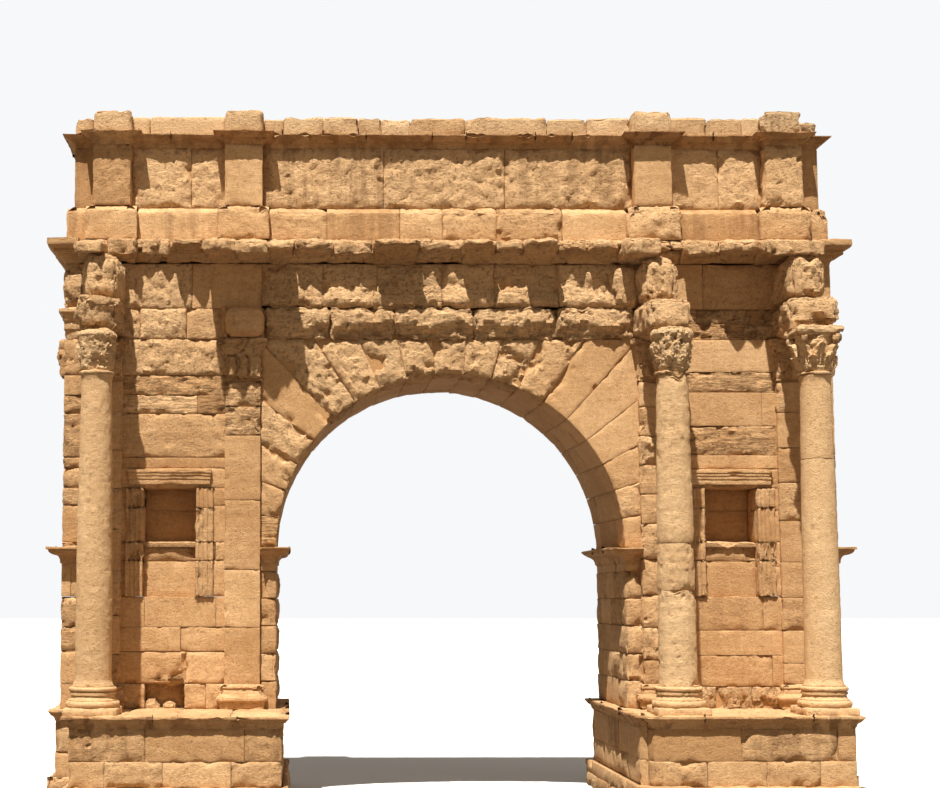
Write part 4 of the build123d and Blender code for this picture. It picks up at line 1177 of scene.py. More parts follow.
def responds(hand):
    """The flat pilasters on the front (-1) or the back (1), with their feet and their heads."""
    name = "front" if hand < 0 else "back"
    stones = Masonry(f"responds_{name}_stones")
    face, out = (front, -1) if hand < 0 else (back, 1)
    foot_head = high_of("respond_feet_front").z
    foot = moulding(FOOT, foot_head - podium_head, -0.07, 0.0, podium_head) + [(-0.12, foot_head)]
    head = moulding(HEAD, architrave_foot - capital_foot, 0.12, 0.0, capital_foot)
    head += [(-0.05, architrave_foot)]
    head_style = styled(BROKEN, 0.42, rough=0.045, pits=0.05) if hand < 0 else styled(WORN, 0.5)
    for site, x in SITES.items():
        strip = three_sides(x - RESPOND_HALF, x + RESPOND_HALF, face - out * 0.1, face + out * RESPOND_OUT)
        levels = [foot_head] + [foot_head + z for z in RESPOND_BEDS[site]] + [capital_foot]
        kinds = RESPOND_KINDS[site] if hand < 0 else [DRESSED]
        for i, (z0, z1) in enumerate(zip(levels[:-1], levels[1:])):
            run(stones, strip, course(z0, z1), styled(kinds[i % len(kinds)], 0.52))
        run(stones, three_sides(x - FOOT_HALF, x + FOOT_HALF, face - out * 0.1, face + out * FOOT_OUT), foot,
            styled(WORN, 0.6, rough=0.010, wear=0.02), cell_up=0.03)
        run(stones, strip, head, head_style, cell_up=0.04)
        for leaf in (-1, 0, 1):
            centre = x + leaf * LEAF_STEP
            y0, y1 = sorted((face + out * 0.05, face + out * 0.155))
            boulder(stones, (centre - LEAF_HALF, y0, capital_foot + LEAF_FOOT),
                    (centre + LEAF_HALF, y1, capital_foot + LEAF_HEAD), 0.045,
                    styled(BROKEN, 0.45, rough=0.03, pits=0.04), cell=0.04, hidden=((1, -out),))
    nodes = [f"responds_{name}", f"respond_feet_{name}", f"respond_heads_{name}"]
    stones.finish("carved_stone", nodes, CARVED)


def end_capitals(side):
    """What is left of the end pilasters' heads: three worn layers, each further out."""
    name = SIDES[side]
    stones = Masonry(f"end_capitals_{name}_stones")
    foot, head = (corner.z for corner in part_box(f"end_capitals_{name}"))
    layers = ((foot, foot + 0.26, 0.075), (foot + 0.20, foot + 0.48, 0.11), (foot + 0.44, head, 0.12))
    for y0, y1 in ((front + 0.01, front + 0.56), (back - 0.56, back - 0.01)):
        for k, (z0, z1, out) in enumerate(layers):
            x0, x1 = sorted((side * (end_x - 0.08), side * (end_x + out)))
            boulder(stones, (x0, y0 + 0.02 * k, z0), (x1, y1 - 0.03 * k, z1), 0.04,
                    styled(BROKEN, 0.4, rough=0.03, pits=0.04), cell=0.035)
    stones.finish("carved_stone", [f"end_capitals_{name}"], CARVED)


# The arch

# The wedge-shaped stones from left to right; those over the crown lie close together
CHIPPED = styled(BROKEN, 0.6, rough=0.05, wear=0.085, pits=0.02)
QUARRIED = styled(QUARRY, 0.6, wear=0.075)
WEDGE_KINDS = [
    styled(BEDDED, 0.5), styled(WORN, 0.55), styled(WORN, 0.6, wear=0.06), QUARRIED,
    styled(SMOOTH, 0.62, wear=0.05), CHIPPED, QUARRIED, CHIPPED, QUARRIED, CHIPPED, QUARRIED, CHIPPED,
    styled(QUARRY, 0.58, rough=0.03, wear=0.06), styled(SMOOTH, 0.64, wear=0.04),
    styled(SMOOTH, 0.6, wear=0.02), styled(SMOOTH, 0.66), styled(DRESSED, 0.6),
    styled(WORN, 0.6), styled(DRESSED, 0.52),
]
WEDGES = len(WEDGE_KINDS)
TIGHT_WEDGES = range(5, 13)


def fan_reach(angle):
    """How far a ray from the arch's centre runs before it leaves the fan's rectangle."""
    rise = architrave_foot - springing
    across, up = np.abs(np.cos(angle)), np.abs(np.sin(angle))
    return np.minimum(fan / np.maximum(across, 1e-6), rise / np.maximum(up, 1e-6))


def wedge(mass, first, last, face, inward, depth, style, cell=CELL, gap=GAP):
    """A voussoir's face on the front or the back, turned round the arris into the vault."""
    middle = (first + last) / 2
    width = fan_reach(middle) * abs(last - first)
    rim = RIM if face == front else COARSE_RIM
    s = lines_between(0, width, cell, (), rim) / width
    deep = float(fan_reach(middle) - opening)
    t = lines_between(0, deep + depth, cell, [deep], rim)
    span = last - first
    radial = np.clip((deep - t) / deep, 0, 1)
    back_in = np.clip(t - deep, 0, None)
    # two passes: the reach depends on the angle, the angle's gap on the radius
    angle = first + span * s[:, None] + 0 * t[None, :]
    radius = opening + (fan_reach(angle) - opening) * radial[None, :]
    angle = middle + (s[:, None] - 0.5) * (span - math.copysign(gap, span) / radius)
    radius = opening + (fan_reach(angle) - opening) * radial[None, :]
    points = np.empty(angle.shape + (3,))
    points[..., 0] = radius * np.cos(angle)
    points[..., 1] = face + inward * back_in[None, :]
    points[..., 2] = springing + radius * np.sin(angle)
    normals = np.zeros_like(points)
    on_face = (t < deep - 1e-6)[None, :] & np.ones_like(angle, bool)
    on_vault = (t > deep + 1e-6)[None, :] & np.ones_like(angle, bool)
    arris = ~on_face & ~on_vault
    normals[..., 1] = np.where(on_face | arris, -inward, 0)
    normals[..., 0] = np.where(on_vault | arris, -np.cos(angle), 0)
    normals[..., 2] = np.where(on_vault | arris, -np.sin(angle), 0)
    side_gap = radius * abs(span) * np.minimum(s, 1 - s)[:, None]
    end_gap = np.minimum(t, t[-1] - t)[None, :]
    edge = np.minimum(np.minimum(side_gap, end_gap), np.abs(t - deep)[None, :] + ARRIS)
    mass.grid(points, normals, edge, style)


def vault_stone(mass, first, last, y0, y1, style, cell=0.075):
    """A stone of the arch's underside, between the wedges of the front and the back."""
    middle, span = (first + last) / 2, last - first
    s = lines_between(0, opening * abs(span), cell, (), COARSE_RIM) / (opening * abs(span))
    y = lines_between(y0 + GAP / 2, y1 - GAP / 2, cell, (), COARSE_RIM)
    angle = middle + (s - 0.5) * (span - math.copysign(GAP, span) / opening)
    points = np.empty((len(s), len(y), 3))
    points[..., 0] = (opening * np.cos(angle))[:, None]
    points[..., 1] = y[None, :]
    points[..., 2] = springing + (opening * np.sin(angle))[:, None]
    normals = np.zeros_like(points)
    normals[..., 0] = -np.cos(angle)[:, None]
    normals[..., 2] = -np.sin(angle)[:, None]
    side_gap, end_gap = opening * abs(span) * np.minimum(s, 1 - s), np.minimum(y - y0, y1 - y)
    edge = np.minimum(side_gap[:, None], end_gap[None, :])
    mass.grid(points, normals, edge, style)


def arch():
    stones = Masonry("arch_ring_stones")
    for i, kind in enumerate(WEDGE_KINDS):
        first, last = math.pi * (1 - i / WEDGES), math.pi * (1 - (i + 1) / WEDGES)
        # how deep each stone goes in from the front and from the back
        near = 0.55 + 0.25 * ((i * 7) % 3) / 2
        far = 0.50 + 0.30 * ((i * 5) % 3) / 2
        wedge(stones, first, last, front, 1, near, kind, gap=0.002 if i in TIGHT_WEDGES else GAP)
        wedge(stones, first, last, back, -1, far, styled(DRESSED, 0.52), cell=CELL * COARSE)
        y0, y1 = front + near, back - far
        parts = 1 + i % 2
        for part in range(parts):
            vault_stone(stones, first, last, y0 + (y1 - y0) * part / parts,
                        y0 + (y1 - y0) * (part + 1) / parts, styled(DRESSED, 0.5))
    # a plain dark layer behind the faces and the vault closes the joints; its dark tone is painted shade in
    # them
    angle = np.linspace(math.pi, 0, 61)
    vault = opening + 0.05
    for face, inward in ((front + 0.05, 1), (back - 0.05, -1)):
        radii = [vault + (fan_reach(angle) - opening - 0.05) * share for share in (1.0, 0.5, 0.0)] + [vault]
        depths = [face, face, face, (front + back) / 2]
        points = np.empty((len(angle), len(radii), 3))
        for k, (radius, y) in enumerate(zip(radii, depths)):
            points[:, k, 0] = radius * np.cos(angle)
            points[:, k, 1] = y
            points[:, k, 2] = springing + radius * np.sin(angle)
        normals = np.zeros_like(points)
        normals[:, :3, 1] = -inward
        normals[:, 3, 0], normals[:, 3, 2] = -np.cos(angle), -np.sin(angle)
        stones.grid(points, normals, np.full(points.shape[:2], FAR), {}, skirt=False, core=True)
    stones.finish("arch_stone", ["keystone", "voussoirs_even", "voussoirs_odd"], ARCH)


# Columns

def half_round(out, bulge, middle, half):
    """A torus in section: nine (out, height) points round its middle height."""
    turns = [k / 8 * math.pi for k in range(9)]
    return [(out + bulge * math.sin(turn), middle - half * math.cos(turn)) for turn in turns]


# A column's base: half the plinth's width and its height, and then the outline above the plinth
# as (radius, share of the height)
PLINTH_HALF, PLINTH_RISE = 0.43, 0.115
SCOTIA = [(0.392, 0.30), (0.392, 0.36), (0.372, 0.37), (0.352, 0.46), (0.345, 0.56), (0.366, 0.58),
          (0.366, 0.70), (0.342, 0.71), (0.342, 0.74)]


def column_base(site):
    x = SITES[site]
    stones = Masonry(f"column_base_{site}_stone")
    low, high = podium_head + PLINTH_RISE, high_of(f"column_base_{site}").z
    tall = high - low
    boulder(stones, (x - PLINTH_HALF, column_y - PLINTH_HALF, podium_head - 0.02),
            (x + PLINTH_HALF, column_y + PLINTH_HALF, low), 0.02,
            styled(DRESSED, 0.66, rough=0.012, layers=0.006))
    outline = [(0.37, low - 0.01)] + half_round(0.398, 0.032, low + 0.15 * tall, 0.15 * tall)
    outline += [(radius, low + share * tall) for radius, share in SCOTIA]
    outline += half_round(0.355, 0.027, low + 0.84 * tall, 0.10 * tall)
    outline += [(0.338, low + 0.945 * tall), (0.338, high + 0.002), (0.24, high + 0.004)]
    turned(stones, (x, column_y), outline, styled(MOULDED, 0.66, rough=0.007, wear=0.004), 96, 0.03)
    stones.finish("column_stone", [f"column_base_{site}"], COLUMN)


# A shaft's radius at the foot, how much it tapers and swells, its flare, and the ring at its head
SHAFT_RADIUS, TAPER, SWELL = 0.293, 0.052, 0.013
FLARE, FLARE_LENGTH, RING_RISE = 0.035, 0.03, 0.045
RING = 0.285


def shaft(site, joints, style):
    """A column's shaft, in drums parted at the joints, which are shares of its height."""
    x = SITES[site]
    stones = Masonry(f"column_shaft_{site}_drums")
    foot, head = (corner.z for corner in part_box(f"column_shaft_{site}"))
    tall = head - foot

    def radius(z):
        t = (z - foot) / tall
        near_foot = math.exp(-(z - foot) / FLARE_LENGTH)
        near_head = math.exp(-max(0, head - RING_RISE - z) / FLARE_LENGTH)
        plain = SHAFT_RADIUS - TAPER * t + SWELL * math.sin(math.pi * t)
        return plain + FLARE * (near_foot + 0.9 * near_head)

    levels = [foot] + [foot + tall * j for j in joints] + [head - 0.05]
    gap = 0.004 if joints else 0.0
    for z0, z1 in zip(levels[:-1], levels[1:]):
        rows = np.linspace(z0 + gap, z1 - gap, max(8, round((z1 - z0) / 0.09)))
        outline = [(radius(z0) - 0.03, z0 + gap)] + [(radius(z), z) for z in rows]
        outline += [(radius(z1) - 0.03, z1 - gap)]
        turned(stones, (x, column_y), outline, style, 72, 0.05)
    outline = [(RING - 0.02, head - 0.052), (RING - 0.004, head - RING_RISE), (RING, head - 0.025),
               (RING - 0.004, head - 0.006), (RING - 0.02, head + 0.002), (0.2, head + 0.003)]
    ring_style = styled(BROKEN, 0.6, rough=0.02) if site == "right_inner" else styled(DRESSED, 0.7)
    turned(stones, (x, column_y), outline, ring_style, 72, 0.02)
    # a plain core inside the drums; its low tone is painted shade in their joints
    core = [(radius(z) - 0.035, z) for z in np.linspace(foot, head, 12)]
    turned(stones, (x, column_y), core, styled(PLAIN, 0.1, pits=0.0), 48, PLAIN_CELL)
    stones.finish("column_stone", [f"column_shaft_{site}"], COLUMN)


# The capitals' bell and leaves: rows of leaves as (number, turn, height of the tip, how far it
# leans out), and what the bell's foot, the abacus and its corners measure
BELL = 0.238
ABACUS_RISE = 0.095
LEAF_ROWS = ((8, 0.0, 0.42, 0.085), (8, math.pi / 8, 0.74, 0.105))
ABACUS_HALF, ABACUS_HOLLOW = 0.385, 0.06
VOLUTE_AT, VOLUTE_HALF = 0.40, 0.07
DOME = 0.82


def capital(site, relief, top_share, style):
    """A bell with two rows of leaves, more or less weathered away. One that has lost its abacus
    (a share of the height under 1) ends in a worn dome."""
    x = SITES[site]
    stones = Masonry(f"capital_{site}_stone")
    tall = architrave_foot - capital_foot
    bell = tall - ABACUS_RISE

    def leaves(angle, z):
        h = (z - capital_foot) / bell
        total = np.zeros(np.broadcast(angle, z).shape)
        for count, shift, tip, lean in LEAF_ROWS:
            turn = (angle - shift) % (2 * math.pi / count)
            across = np.abs(turn - math.pi / count) / (math.pi / count)
            wide = np.sqrt(np.clip(1 - (h / tip) ** 3, 0, 1))
            lobe = 0.88 + 0.12 * np.cos(h / tip * 22)
            mask = smooth_step(0.0, 0.16, wide * 0.96 * lobe - across)
            curl = np.clip(h / tip, 0, 1) ** 2.2
            vein = 0.012 * np.cos(across * math.pi * 5) * (1 - across)
            total = np.maximum(total, mask * (0.028 + lean * curl + vein) * (h < tip + 0.02))
        return 0.075 * np.clip(h, 0, 1.1) ** 2.5 + relief * total

    if top_share < 1:
        worn = tall * top_share
        outline = [(BELL + 0.02 * math.sin(3 * t), capital_foot + t * worn) for t in np.linspace(0, DOME, 26)]
        for k in range(1, 9):
            a = k / 8 * math.pi / 2
            share = DOME + (1 - DOME) * math.sin(a)
            outline.append((0.26 * math.cos(a) + 0.001, capital_foot + worn * share))
    else:
        rows = np.linspace(capital_foot, capital_foot + bell, 30)
        outline = [(BELL, z) for z in rows] + [(0.2, rows[-1] + 0.004)]
    turned(stones, (x, column_y), outline, style, 144, 0.022, ripple=leaves)
    if top_share >= 1:
        z0, half = capital_foot + bell - 0.03, ABACUS_HALF
        boulder(stones, (x - half, column_y - half, z0), (x + half, column_y + half, architrave_foot), 0.04,
                styled(BROKEN, 0.68, rough=0.03, pits=0.03, wear=0.05), cell=0.028,
                shape=lambda p, n: (hollow_sides(p, (x, column_y), half, ABACUS_HOLLOW), n))
        for corner in range(4):
            a = math.pi / 4 + corner * math.pi / 2
            cx, cy = x + VOLUTE_AT * math.cos(a), column_y + VOLUTE_AT * math.sin(a)
            boulder(stones, (cx - VOLUTE_HALF, cy - VOLUTE_HALF, z0 - 0.15),
                    (cx + VOLUTE_HALF, cy + VOLUTE_HALF, z0 + 0.02), 0.065,
                    styled(BROKEN, 0.62, rough=0.03, pits=0.03), cell=0.024)
    stones.finish("column_stone", [f"capital_{site}"], COLUMN)


def hollow_sides(points, centre, half, depth):
    """Hollows the four sides of a square slab, as an abacus has them."""
    moved = points.copy()
    for a, b in ((0, 1), (1, 0)):
        along = (points[..., b] - centre[b]) / half
        out = (points[..., a] - centre[a]) / half
        moved[..., a] -= np.sign(out) * depth * np.clip(1 - along**2, 0, 1) * np.clip(np.abs(out), 0, 1) ** 3
    return moved


# Entablature

def slanted(x, foot, reach, across=0.0, up=0.0, pinch=0.0):
    """Slants the face of a block that stands out from the front, and pinches its foot."""
    def shape(points, normals):
        moved = points.copy()
        share = np.clip((front - points[..., 1]) / reach, 0, 1) ** 1.5
        moved[..., 1] += share * (across * (points[..., 0] - x) + up * (points[..., 2] - foot))
        low = np.clip(1 - (points[..., 2] - foot) / 0.4, 0, 1)
        moved[..., 0] = x + (points[..., 0] - x) * (1 - pinch * low * share)
        return moved, normals
    return shape


def architrave_courses():
    """The stepped architrave round the ends and the back, what its broken front left, and the
    stump over the lost column."""
    stones = Masonry("architrave_stones_round")
    gap_x = outer_x + 0.36
    foot, head = architrave_foot, frieze_foot
    shape = moulding(ARCHITRAVE, head - foot, 0.11, 0.0, foot) + [(-0.05, head)]
    path = round_the_back(gap_x, -gap_x)
    kinds = [styled(WORN, 0.5, wear=0.03), styled(DRESSED, 0.5),
             styled(BEDDED, 0.5, layers=0.02)]
    run(stones, path, shape, kinds, joints_along(path, 1.5, 4), cell_up=0.03, caps=styled(WORN, 0.45))

    kinds = [styled(QUARRY, 0.55), styled(QUARRY, 0.58, rough=0.05), styled(WORN, 0.5)]
    run(stones, Path(flip([(inner_x - 0.36, front), (gap_x, front)], -1)), [(0, foot), (0, head)], kinds,
        [0.95, 1.75, 2.4])
    kinds = [styled(BROKEN, 0.5, layers=0.05), styled(BEDDED, 0.5, layers=0.05)]
    bed = foot + 0.27
    line = Path([(inner_x - 0.36, front), (gap_x, front)])
    run(stones, line, [(0, foot), (0, bed)], kinds, [0.7, 1.9])
    run(stones, line, [(-0.02, bed), (-0.03, head)], kinds[::-1], [1.1, 2.3])

    x, stub = SITES["left_inner"], low_of("architrave_stub")
    boulder(stones, (x - 0.30, stub.y, foot), (x + 0.36, front + 0.1, head), 0.17,
            styled(SMOOTH, 0.5, rough=0.012, pits=0.006))
    boulder(stones, (x - 0.36, front - 0.12, foot), (x - 0.26, front + 0.1, head), 0.03,
            styled(WORN, 0.35))
    stones.finish("carved_stone", ["architrave", "architrave_stub"], CARVED)


# The five stones over the arch: where they end as shares of the row, how far each stands out, and
# what share of that its foot keeps
BULGE_ENDS = np.cumsum([0, 0.175, 0.175, 0.215, 0.225, 0.21])
BULGES = ((0.13, 0.30), (0.16, 0.20), (0.15, 0.30), (0.15, 0.15), (0.14, 0.25))


def bulging_stones():
    """Five broken stones over the arch: proud along the top, cut back below, with a dark bed behind them that
    is painted shade under their undercut.
    """
    stones = Masonry("architrave_over_arch_stones")
    low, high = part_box("architrave_stones")
    length, tall = high.x - low.x, frieze_foot - architrave_foot

    def broken_front(out, foot_share, turn):
        def shape(points, normals):
            x, y, h = points[..., 0], points[..., 1], (points[..., 2] - architrave_foot) / tall
            wave = 0.07 * np.sin(x * 7.0 + turn) + 0.05 * np.sin(x * 17.0 + 2 * turn)
            full = smooth_step(0.22, 0.46, h + wave) - 0.35 * smooth_step(0.70, 1.0, h)
            share = np.clip((front - y) / out, 0, 1.2) * (foot_share + (1 - foot_share) * full)
            moved = points.copy()
            moved[..., 1] = np.where(y < front, front - out * share, y)
            return moved, normals
        return shape

    for i, (out, foot_share) in enumerate(BULGES):
        x0, x1 = low.x + length * BULGE_ENDS[i] + 0.008, low.x + length * BULGE_ENDS[i + 1] - 0.008
        reach = front - max(front - out, low.y + 0.01)
        boulder(stones, (x0, front - reach, architrave_foot + 0.01), (x1, front + 0.2, frieze_foot), 0.04,
                styled(BROKEN, 0.66, rough=0.055, pits=0.02, layers=0.020), cell=0.036,
                shape=broken_front(reach, foot_share, i * 1.9), hidden=((1, 1),))
    # painted shade: a dark bed behind the stones, where their undercut lies in shade
    slab(stones, (low.x - 0.2, front + 0.06, architrave_foot), (1, 0, 0), (0, 0, 1), length + 0.4, tall,
         styled(SMOOTH, 0.15), cell=0.2)
    slab(stones, (low.x, front + 0.1, frieze_foot - 0.02), *LEVEL, length, 0.3,
         styled(WORN, 0.3), cell=0.2)
    stones.finish("arch_stone", ["architrave_stones"], ARCH)


def blocks_over_columns():
    """The broken architrave blocks over the three columns, and the frieze blocks on top of them."""
    stones = Masonry("blocks_over_columns")
    nodes = []
    foot, head = architrave_foot, frieze_foot
    for site in ("left_outer", "right_inner", "right_outer"):
        x, near = SITES[site], low_of(f"architrave_block_{site}").y

        def part(x0, x1, y0, y1, z0, z1, radius, style, slant=None):
            """A stone between two places beside the column's middle, which may have a slanted face."""
            shape = slanted(x, foot, front - near, *slant) if slant else None
            boulder(stones, (x + x0, y0, z0), (x + x1, y1, z1), radius, style, shape=shape)

        if site == "left_outer":
            part(-0.34, 0.30, near + 0.12, front + 0.05, foot, head - 0.06, 0.09,
                 styled(BROKEN, 0.5, rough=0.07, pits=0.05), (0.1, -0.15))
            part(-0.33, 0.33, near + 0.02, front + 0.05, head - 0.17, head, 0.06,
                 styled(BROKEN, 0.62, rough=0.05, pits=0.03))
        elif site == "right_inner":
            part(-0.35, 0.36, near + 0.04, front + 0.05, foot, head - 0.02, 0.10,
                 styled(BROKEN, 0.6, rough=0.05, pits=0.03), (0.15, 0.15))
            part(-0.25, 0.20, near + 0.25, front - 0.2, head - 0.12, head + 0.02, 0.08,
                 styled(BROKEN, 0.7, rough=0.04))
        else:
            part(-0.36, 0.36, near + 0.02, front + 0.05, foot + 0.10, head, 0.08,
                 styled(BROKEN, 0.6, rough=0.06, pits=0.05), (-0.45, 0.1))
            part(-0.20, 0.26, near + 0.12, front - 0.5, foot, foot + 0.16, 0.06,
                 styled(BROKEN, 0.7, rough=0.04))
            part(-0.33, 0.33, column_y + 0.1, front + 0.05, foot, foot + 0.2, 0.05, styled(WORN, 0.5))
        low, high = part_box(f"frieze_block_{site}")
        boulder(stones, low, (high.x, front + 0.08, high.z), 0.2,
                styled(QUARRY, 0.66, rough=0.05, pits=0.03), cell=0.034,
                shape=slanted(x, head, max(front - low.y, 0.1), 0.05, 0.0, 0.12))
        nodes += [f"architrave_block_{site}", f"frieze_block_{site}"]
    stones.finish("carved_stone", nodes, CARVED)


def frieze():
    """The frieze; its middle stretch is quarried rough and stands proud along the foot."""
    stones = Masonry("frieze_stones")
    middle = inner_x - 0.32
    round_path = round_the_back(middle, -middle)

    def style(x, y):
        own = np.random.default_rng(int(abs(x) * 97 + abs(y) * 31))
        if y < front + 0.01:
            return styled((WORN, DRESSED, QUARRY)[int(own.integers(3))], 0.6)
        return styled(DRESSED, 0.5 + own.normal(0, 0.08))

    foot, rise = frieze_foot + GAP / 2, frieze_head - frieze_foot
    run(stones, round_path, [(0, foot), (0, frieze_head)], style, joints_along(round_path, 1.25, 8))
    profile = [(0.0, foot), (0.07, foot + 0.03), (0.08, foot + 0.14), (0.03, foot + 0.30),
               (0.0, foot + 0.5 * rise), (0.015, frieze_head)]
    kinds = [styled(BROKEN, 0.6, rough=0.05, pits=0.02, layers=0.012),
             styled(QUARRY, 0.6, rough=0.055),
             styled(BROKEN, 0.56, rough=0.065, pits=0.02), styled(QUARRY, 0.62)]
    run(stones, Path([(-middle, front), (middle, front)]), profile, kinds, [1.05, 1.98, 3.1, 4.0, 5.1])
    # lumps that still stand out: from, to, foot, head, how far out
    for x0, x1, z0, z1, out in ((middle - 0.44, middle, 0.02, 0.72, 0.16), (-6.6, -6.25, 0.08, 0.7, 0.10),
                                (-1.35, -0.55, 0.0, 0.26, 0.13), (0.75, 1.3, 0.0, 0.30, 0.12)):
        boulder(stones, (x0, front - out, frieze_foot + z0), (x1, front + 0.12, frieze_foot + z1), 0.09,
                styled(BROKEN, 0.58, rough=0.05, pits=0.03), hidden=((1, 1),))
    stones.finish("wall_stone", ["frieze"], WALL)


# What still stands out of the main cornice: from, to, how far out, how thick its front edge is,
# how far its foot lies above the bed, how far its top falls, and its tone
CORNICE_BLOCKS = (
    (-6.34, -5.88, 0.95, 0.16, 0.05, 0.24, 0.60), (-5.86, -5.36, 0.36, 0.27, 0.06, 0.04, 0.66),
    (-5.29, -4.77, 0.22, 0.27, 0.08, 0.03, 0.66), (-4.73, -4.22, 0.44, 0.08, 0.08, 0.06, 0.55),
    (-4.18, -3.64, 1.08, 0.17, 0.03, 0.22, 0.66), (-3.64, -3.11, 1.02, 0.20, 0.03, 0.22, 0.68),
    (-3.13, -2.72, 0.98, 0.09, 0.03, 0.24, 0.55), (-2.65, -2.01, 0.36, 0.14, 0.05, 0.06, 0.66),
    (-1.99, -1.33, 0.32, 0.20, 0.10, 0.08, 0.64), (-1.28, -0.57, 0.60, 0.06, 0.00, 0.11, 0.52),
    (-0.51, 0.18, 0.28, 0.14, 0.08, 0.05, 0.68), (0.21, 0.73, 0.57, 0.06, 0.00, 0.10, 0.50),
    (0.79, 1.27, 0.32, 0.15, 0.08, 0.06, 0.66), (1.29, 1.83, 0.60, 0.07, 0.00, 0.09, 0.55),
    (1.88, 2.36, 0.30, 0.14, 0.06, 0.07, 0.66), (2.40, 2.92, 0.38, 0.12, 0.04, 0.07, 0.64),
    (2.94, 3.53, 0.64, 0.26, 0.00, 0.08, 0.70), (4.02, 4.58, 0.52, 0.22, 0.10, 0.10, 0.72),
    (4.60, 5.24, 0.70, 0.15, 0.06, 0.14, 0.64), (5.25, 6.20, 0.98, 0.24, 0.02, 0.18, 0.70),
)


def main_cornice():
    """The main cornice, broken back to its bed along the front, with what still stands out of it."""
    stones = Masonry("main_cornice_stones")
    foot, head = frieze_head, cornice_head
    shape = moulding(CORNICE, head - foot, 0.30, 0.0, foot) + [(-0.08, head)]
    path = round_the_back(end_x - 0.30, -end_x + 0.25)
    kinds = [styled(MOULDED, 0.5, rough=0.016), styled(MOULDED, 0.5),
             styled(MOULDED, 0.45, wear=0.03)]
    run(stones, path, shape, kinds, joints_along(path, 1.2, 12), cell_up=0.045, core=0.02,
        caps=styled(WORN, 0.4))
    # the bed: an underside that leans out over the frieze, and a ragged lit edge
    line = Path([(-end_x + 0.2, front), (end_x - 0.25, front)])
    low_bed = [(0.0, foot), (0.05, foot + 0.03), (0.12, foot + 0.13), (0.15, foot + 0.20)]
    run(stones, line, low_bed, [styled(WORN, 0.5, rough=0.03), styled(BROKEN, 0.45, rough=0.04)],
        joints_along(line, 0.85, 31), cell_up=0.035)
    high_bed = [(0.12, foot + 0.19), (0.21, foot + 0.22), (0.23, foot + 0.30), (0.18, head - 0.01),
                (-0.08, head)]
    kinds = [styled(BROKEN, 0.68, rough=0.05, wear=0.09), styled(WORN, 0.7, wear=0.07),
             styled(BROKEN, 0.62, rough=0.045, wear=0.11, bulge=0.03)]
    run(stones, line, high_bed, kinds, joints_along(line, 0.52, 57), cell_up=0.035)
    slab(stones, (-end_x + 0.05, front + 0.02, head - 0.012), *LEVEL, 2 * end_x - 0.1,
         back - front - 0.04, styled(WORN, 0.4), cell=0.6)

    for x0, x1, out, thick, rise, drop, tone in CORNICE_BLOCKS:
        bottom = foot + rise
        reach = min(out, front - cad_low[1] - 0.02)

        def slanting(points, normals):
            """The top falls towards a front edge of the thickness, and the underside meets it."""
            share = np.clip((front - points[..., 1]) / reach, 0, 1)
            top = head - drop * share
            base = bottom + (top - thick - bottom) * share
            moved = points.copy()
            moved[..., 2] = base + (points[..., 2] - bottom) / (head - bottom) * (top - base)
            moved[..., 1] += 0.10 * share * np.sin(points[..., 0] * 9 + x0 * 3) ** 2
            return moved, normals

        boulder(stones, (x0, front - reach, bottom), (x1, front + 0.1, head), 0.035,
                styled(BROKEN, tone, rough=0.040, pits=0.03, wear=0.05), shape=slanting,
                hidden=((1, 1),))
    stones.finish("carved_stone", ["cornice"], CARVED)


# Attic

PILASTERS = [-(outer_x - 0.09), -inner_x, inner_x, outer_x - 0.09]


def stepped_path(half_length, wall_out, half_width, reach):
    """A rectangle round the attic that steps out at the pilasters, front and back."""
    y0, y1 = attic_front - wall_out, attic_back + wall_out
    corners = [(-half_length, y0)]
    for x in PILASTERS:
        corners += [(x - half_width, y0), (x - half_width, attic_front - reach),
                    (x + half_width, attic_front - reach), (x + half_width, y0)]
    corners += [(half_length, y0), (half_length, y1)]
    for x in reversed(PILASTERS):
        corners += [(x + half_width, y1), (x + half_width, attic_back + reach),
                    (x - half_width, attic_back + reach), (x - half_width, y1)]
    corners += [(-half_length, y1)]
    return Path(corners, closed=True)


def attic_base():
    stones = Masonry("attic_base_stones")
    path = stepped_path(attic_x + 0.12, 0.12, PILASTER_HALF + 0.12, 0.30)
    foot, head = cornice_head, attic_base_head
    shape = [(0, foot), (0, foot + 0.83 * (head - foot)), (-0.10, head - 0.01), (-0.16, head + 0.002)]
    kinds = [styled(WORN, 0.6), styled(DRESSED, 0.6), styled(QUARRY, 0.55, rough=0.035),
             styled(DRESSED, 0.52, stain=0.4), styled(BROKEN, 0.58, rough=0.03)]

    def style(x, y):
        own = np.random.default_rng(int(abs(x) * 53 + abs(y) * 17 + (x > 0) * 5))
        return kinds[int(own.integers(5))] if y < front + 0.5 else styled(DRESSED, 0.52)

    run(stones, path, shape, style, joints_along(path, 1.0, 19))
    stones.finish("wall_stone", ["attic_base"], WALL)


# The attic wall's upright joints on the front, and those past the far corner of the back
ATTIC_JOINTS = [-5.49, -4.455, -3.22, -1.106, 1.0, 3.22, 4.73, 5.49]
ATTIC_BACK_JOINTS = (1.0, 2.3, 3.55, 4.8, 6.2, 7.4, 8.7, 9.9, 11.3, 12.2)
RUGGED = styled(QUARRY, 0.88, pits=0.005, rough=0.038)
ATTIC_KINDS = [
    styled(DRESSED, 0.66), RUGGED, styled(RUGGED, layers=0.006), styled(RUGGED, stain=0.55),
    styled(RUGGED, rough=0.046, stain=0.2), styled(RUGGED, stain=0.45), styled(WORN, 0.66), RUGGED,
    styled(DRESSED, 0.66),
]
PILASTER_KINDS = (WORN, DRESSED, DRESSED, styled(QUARRY, rough=0.035, pits=0.04))


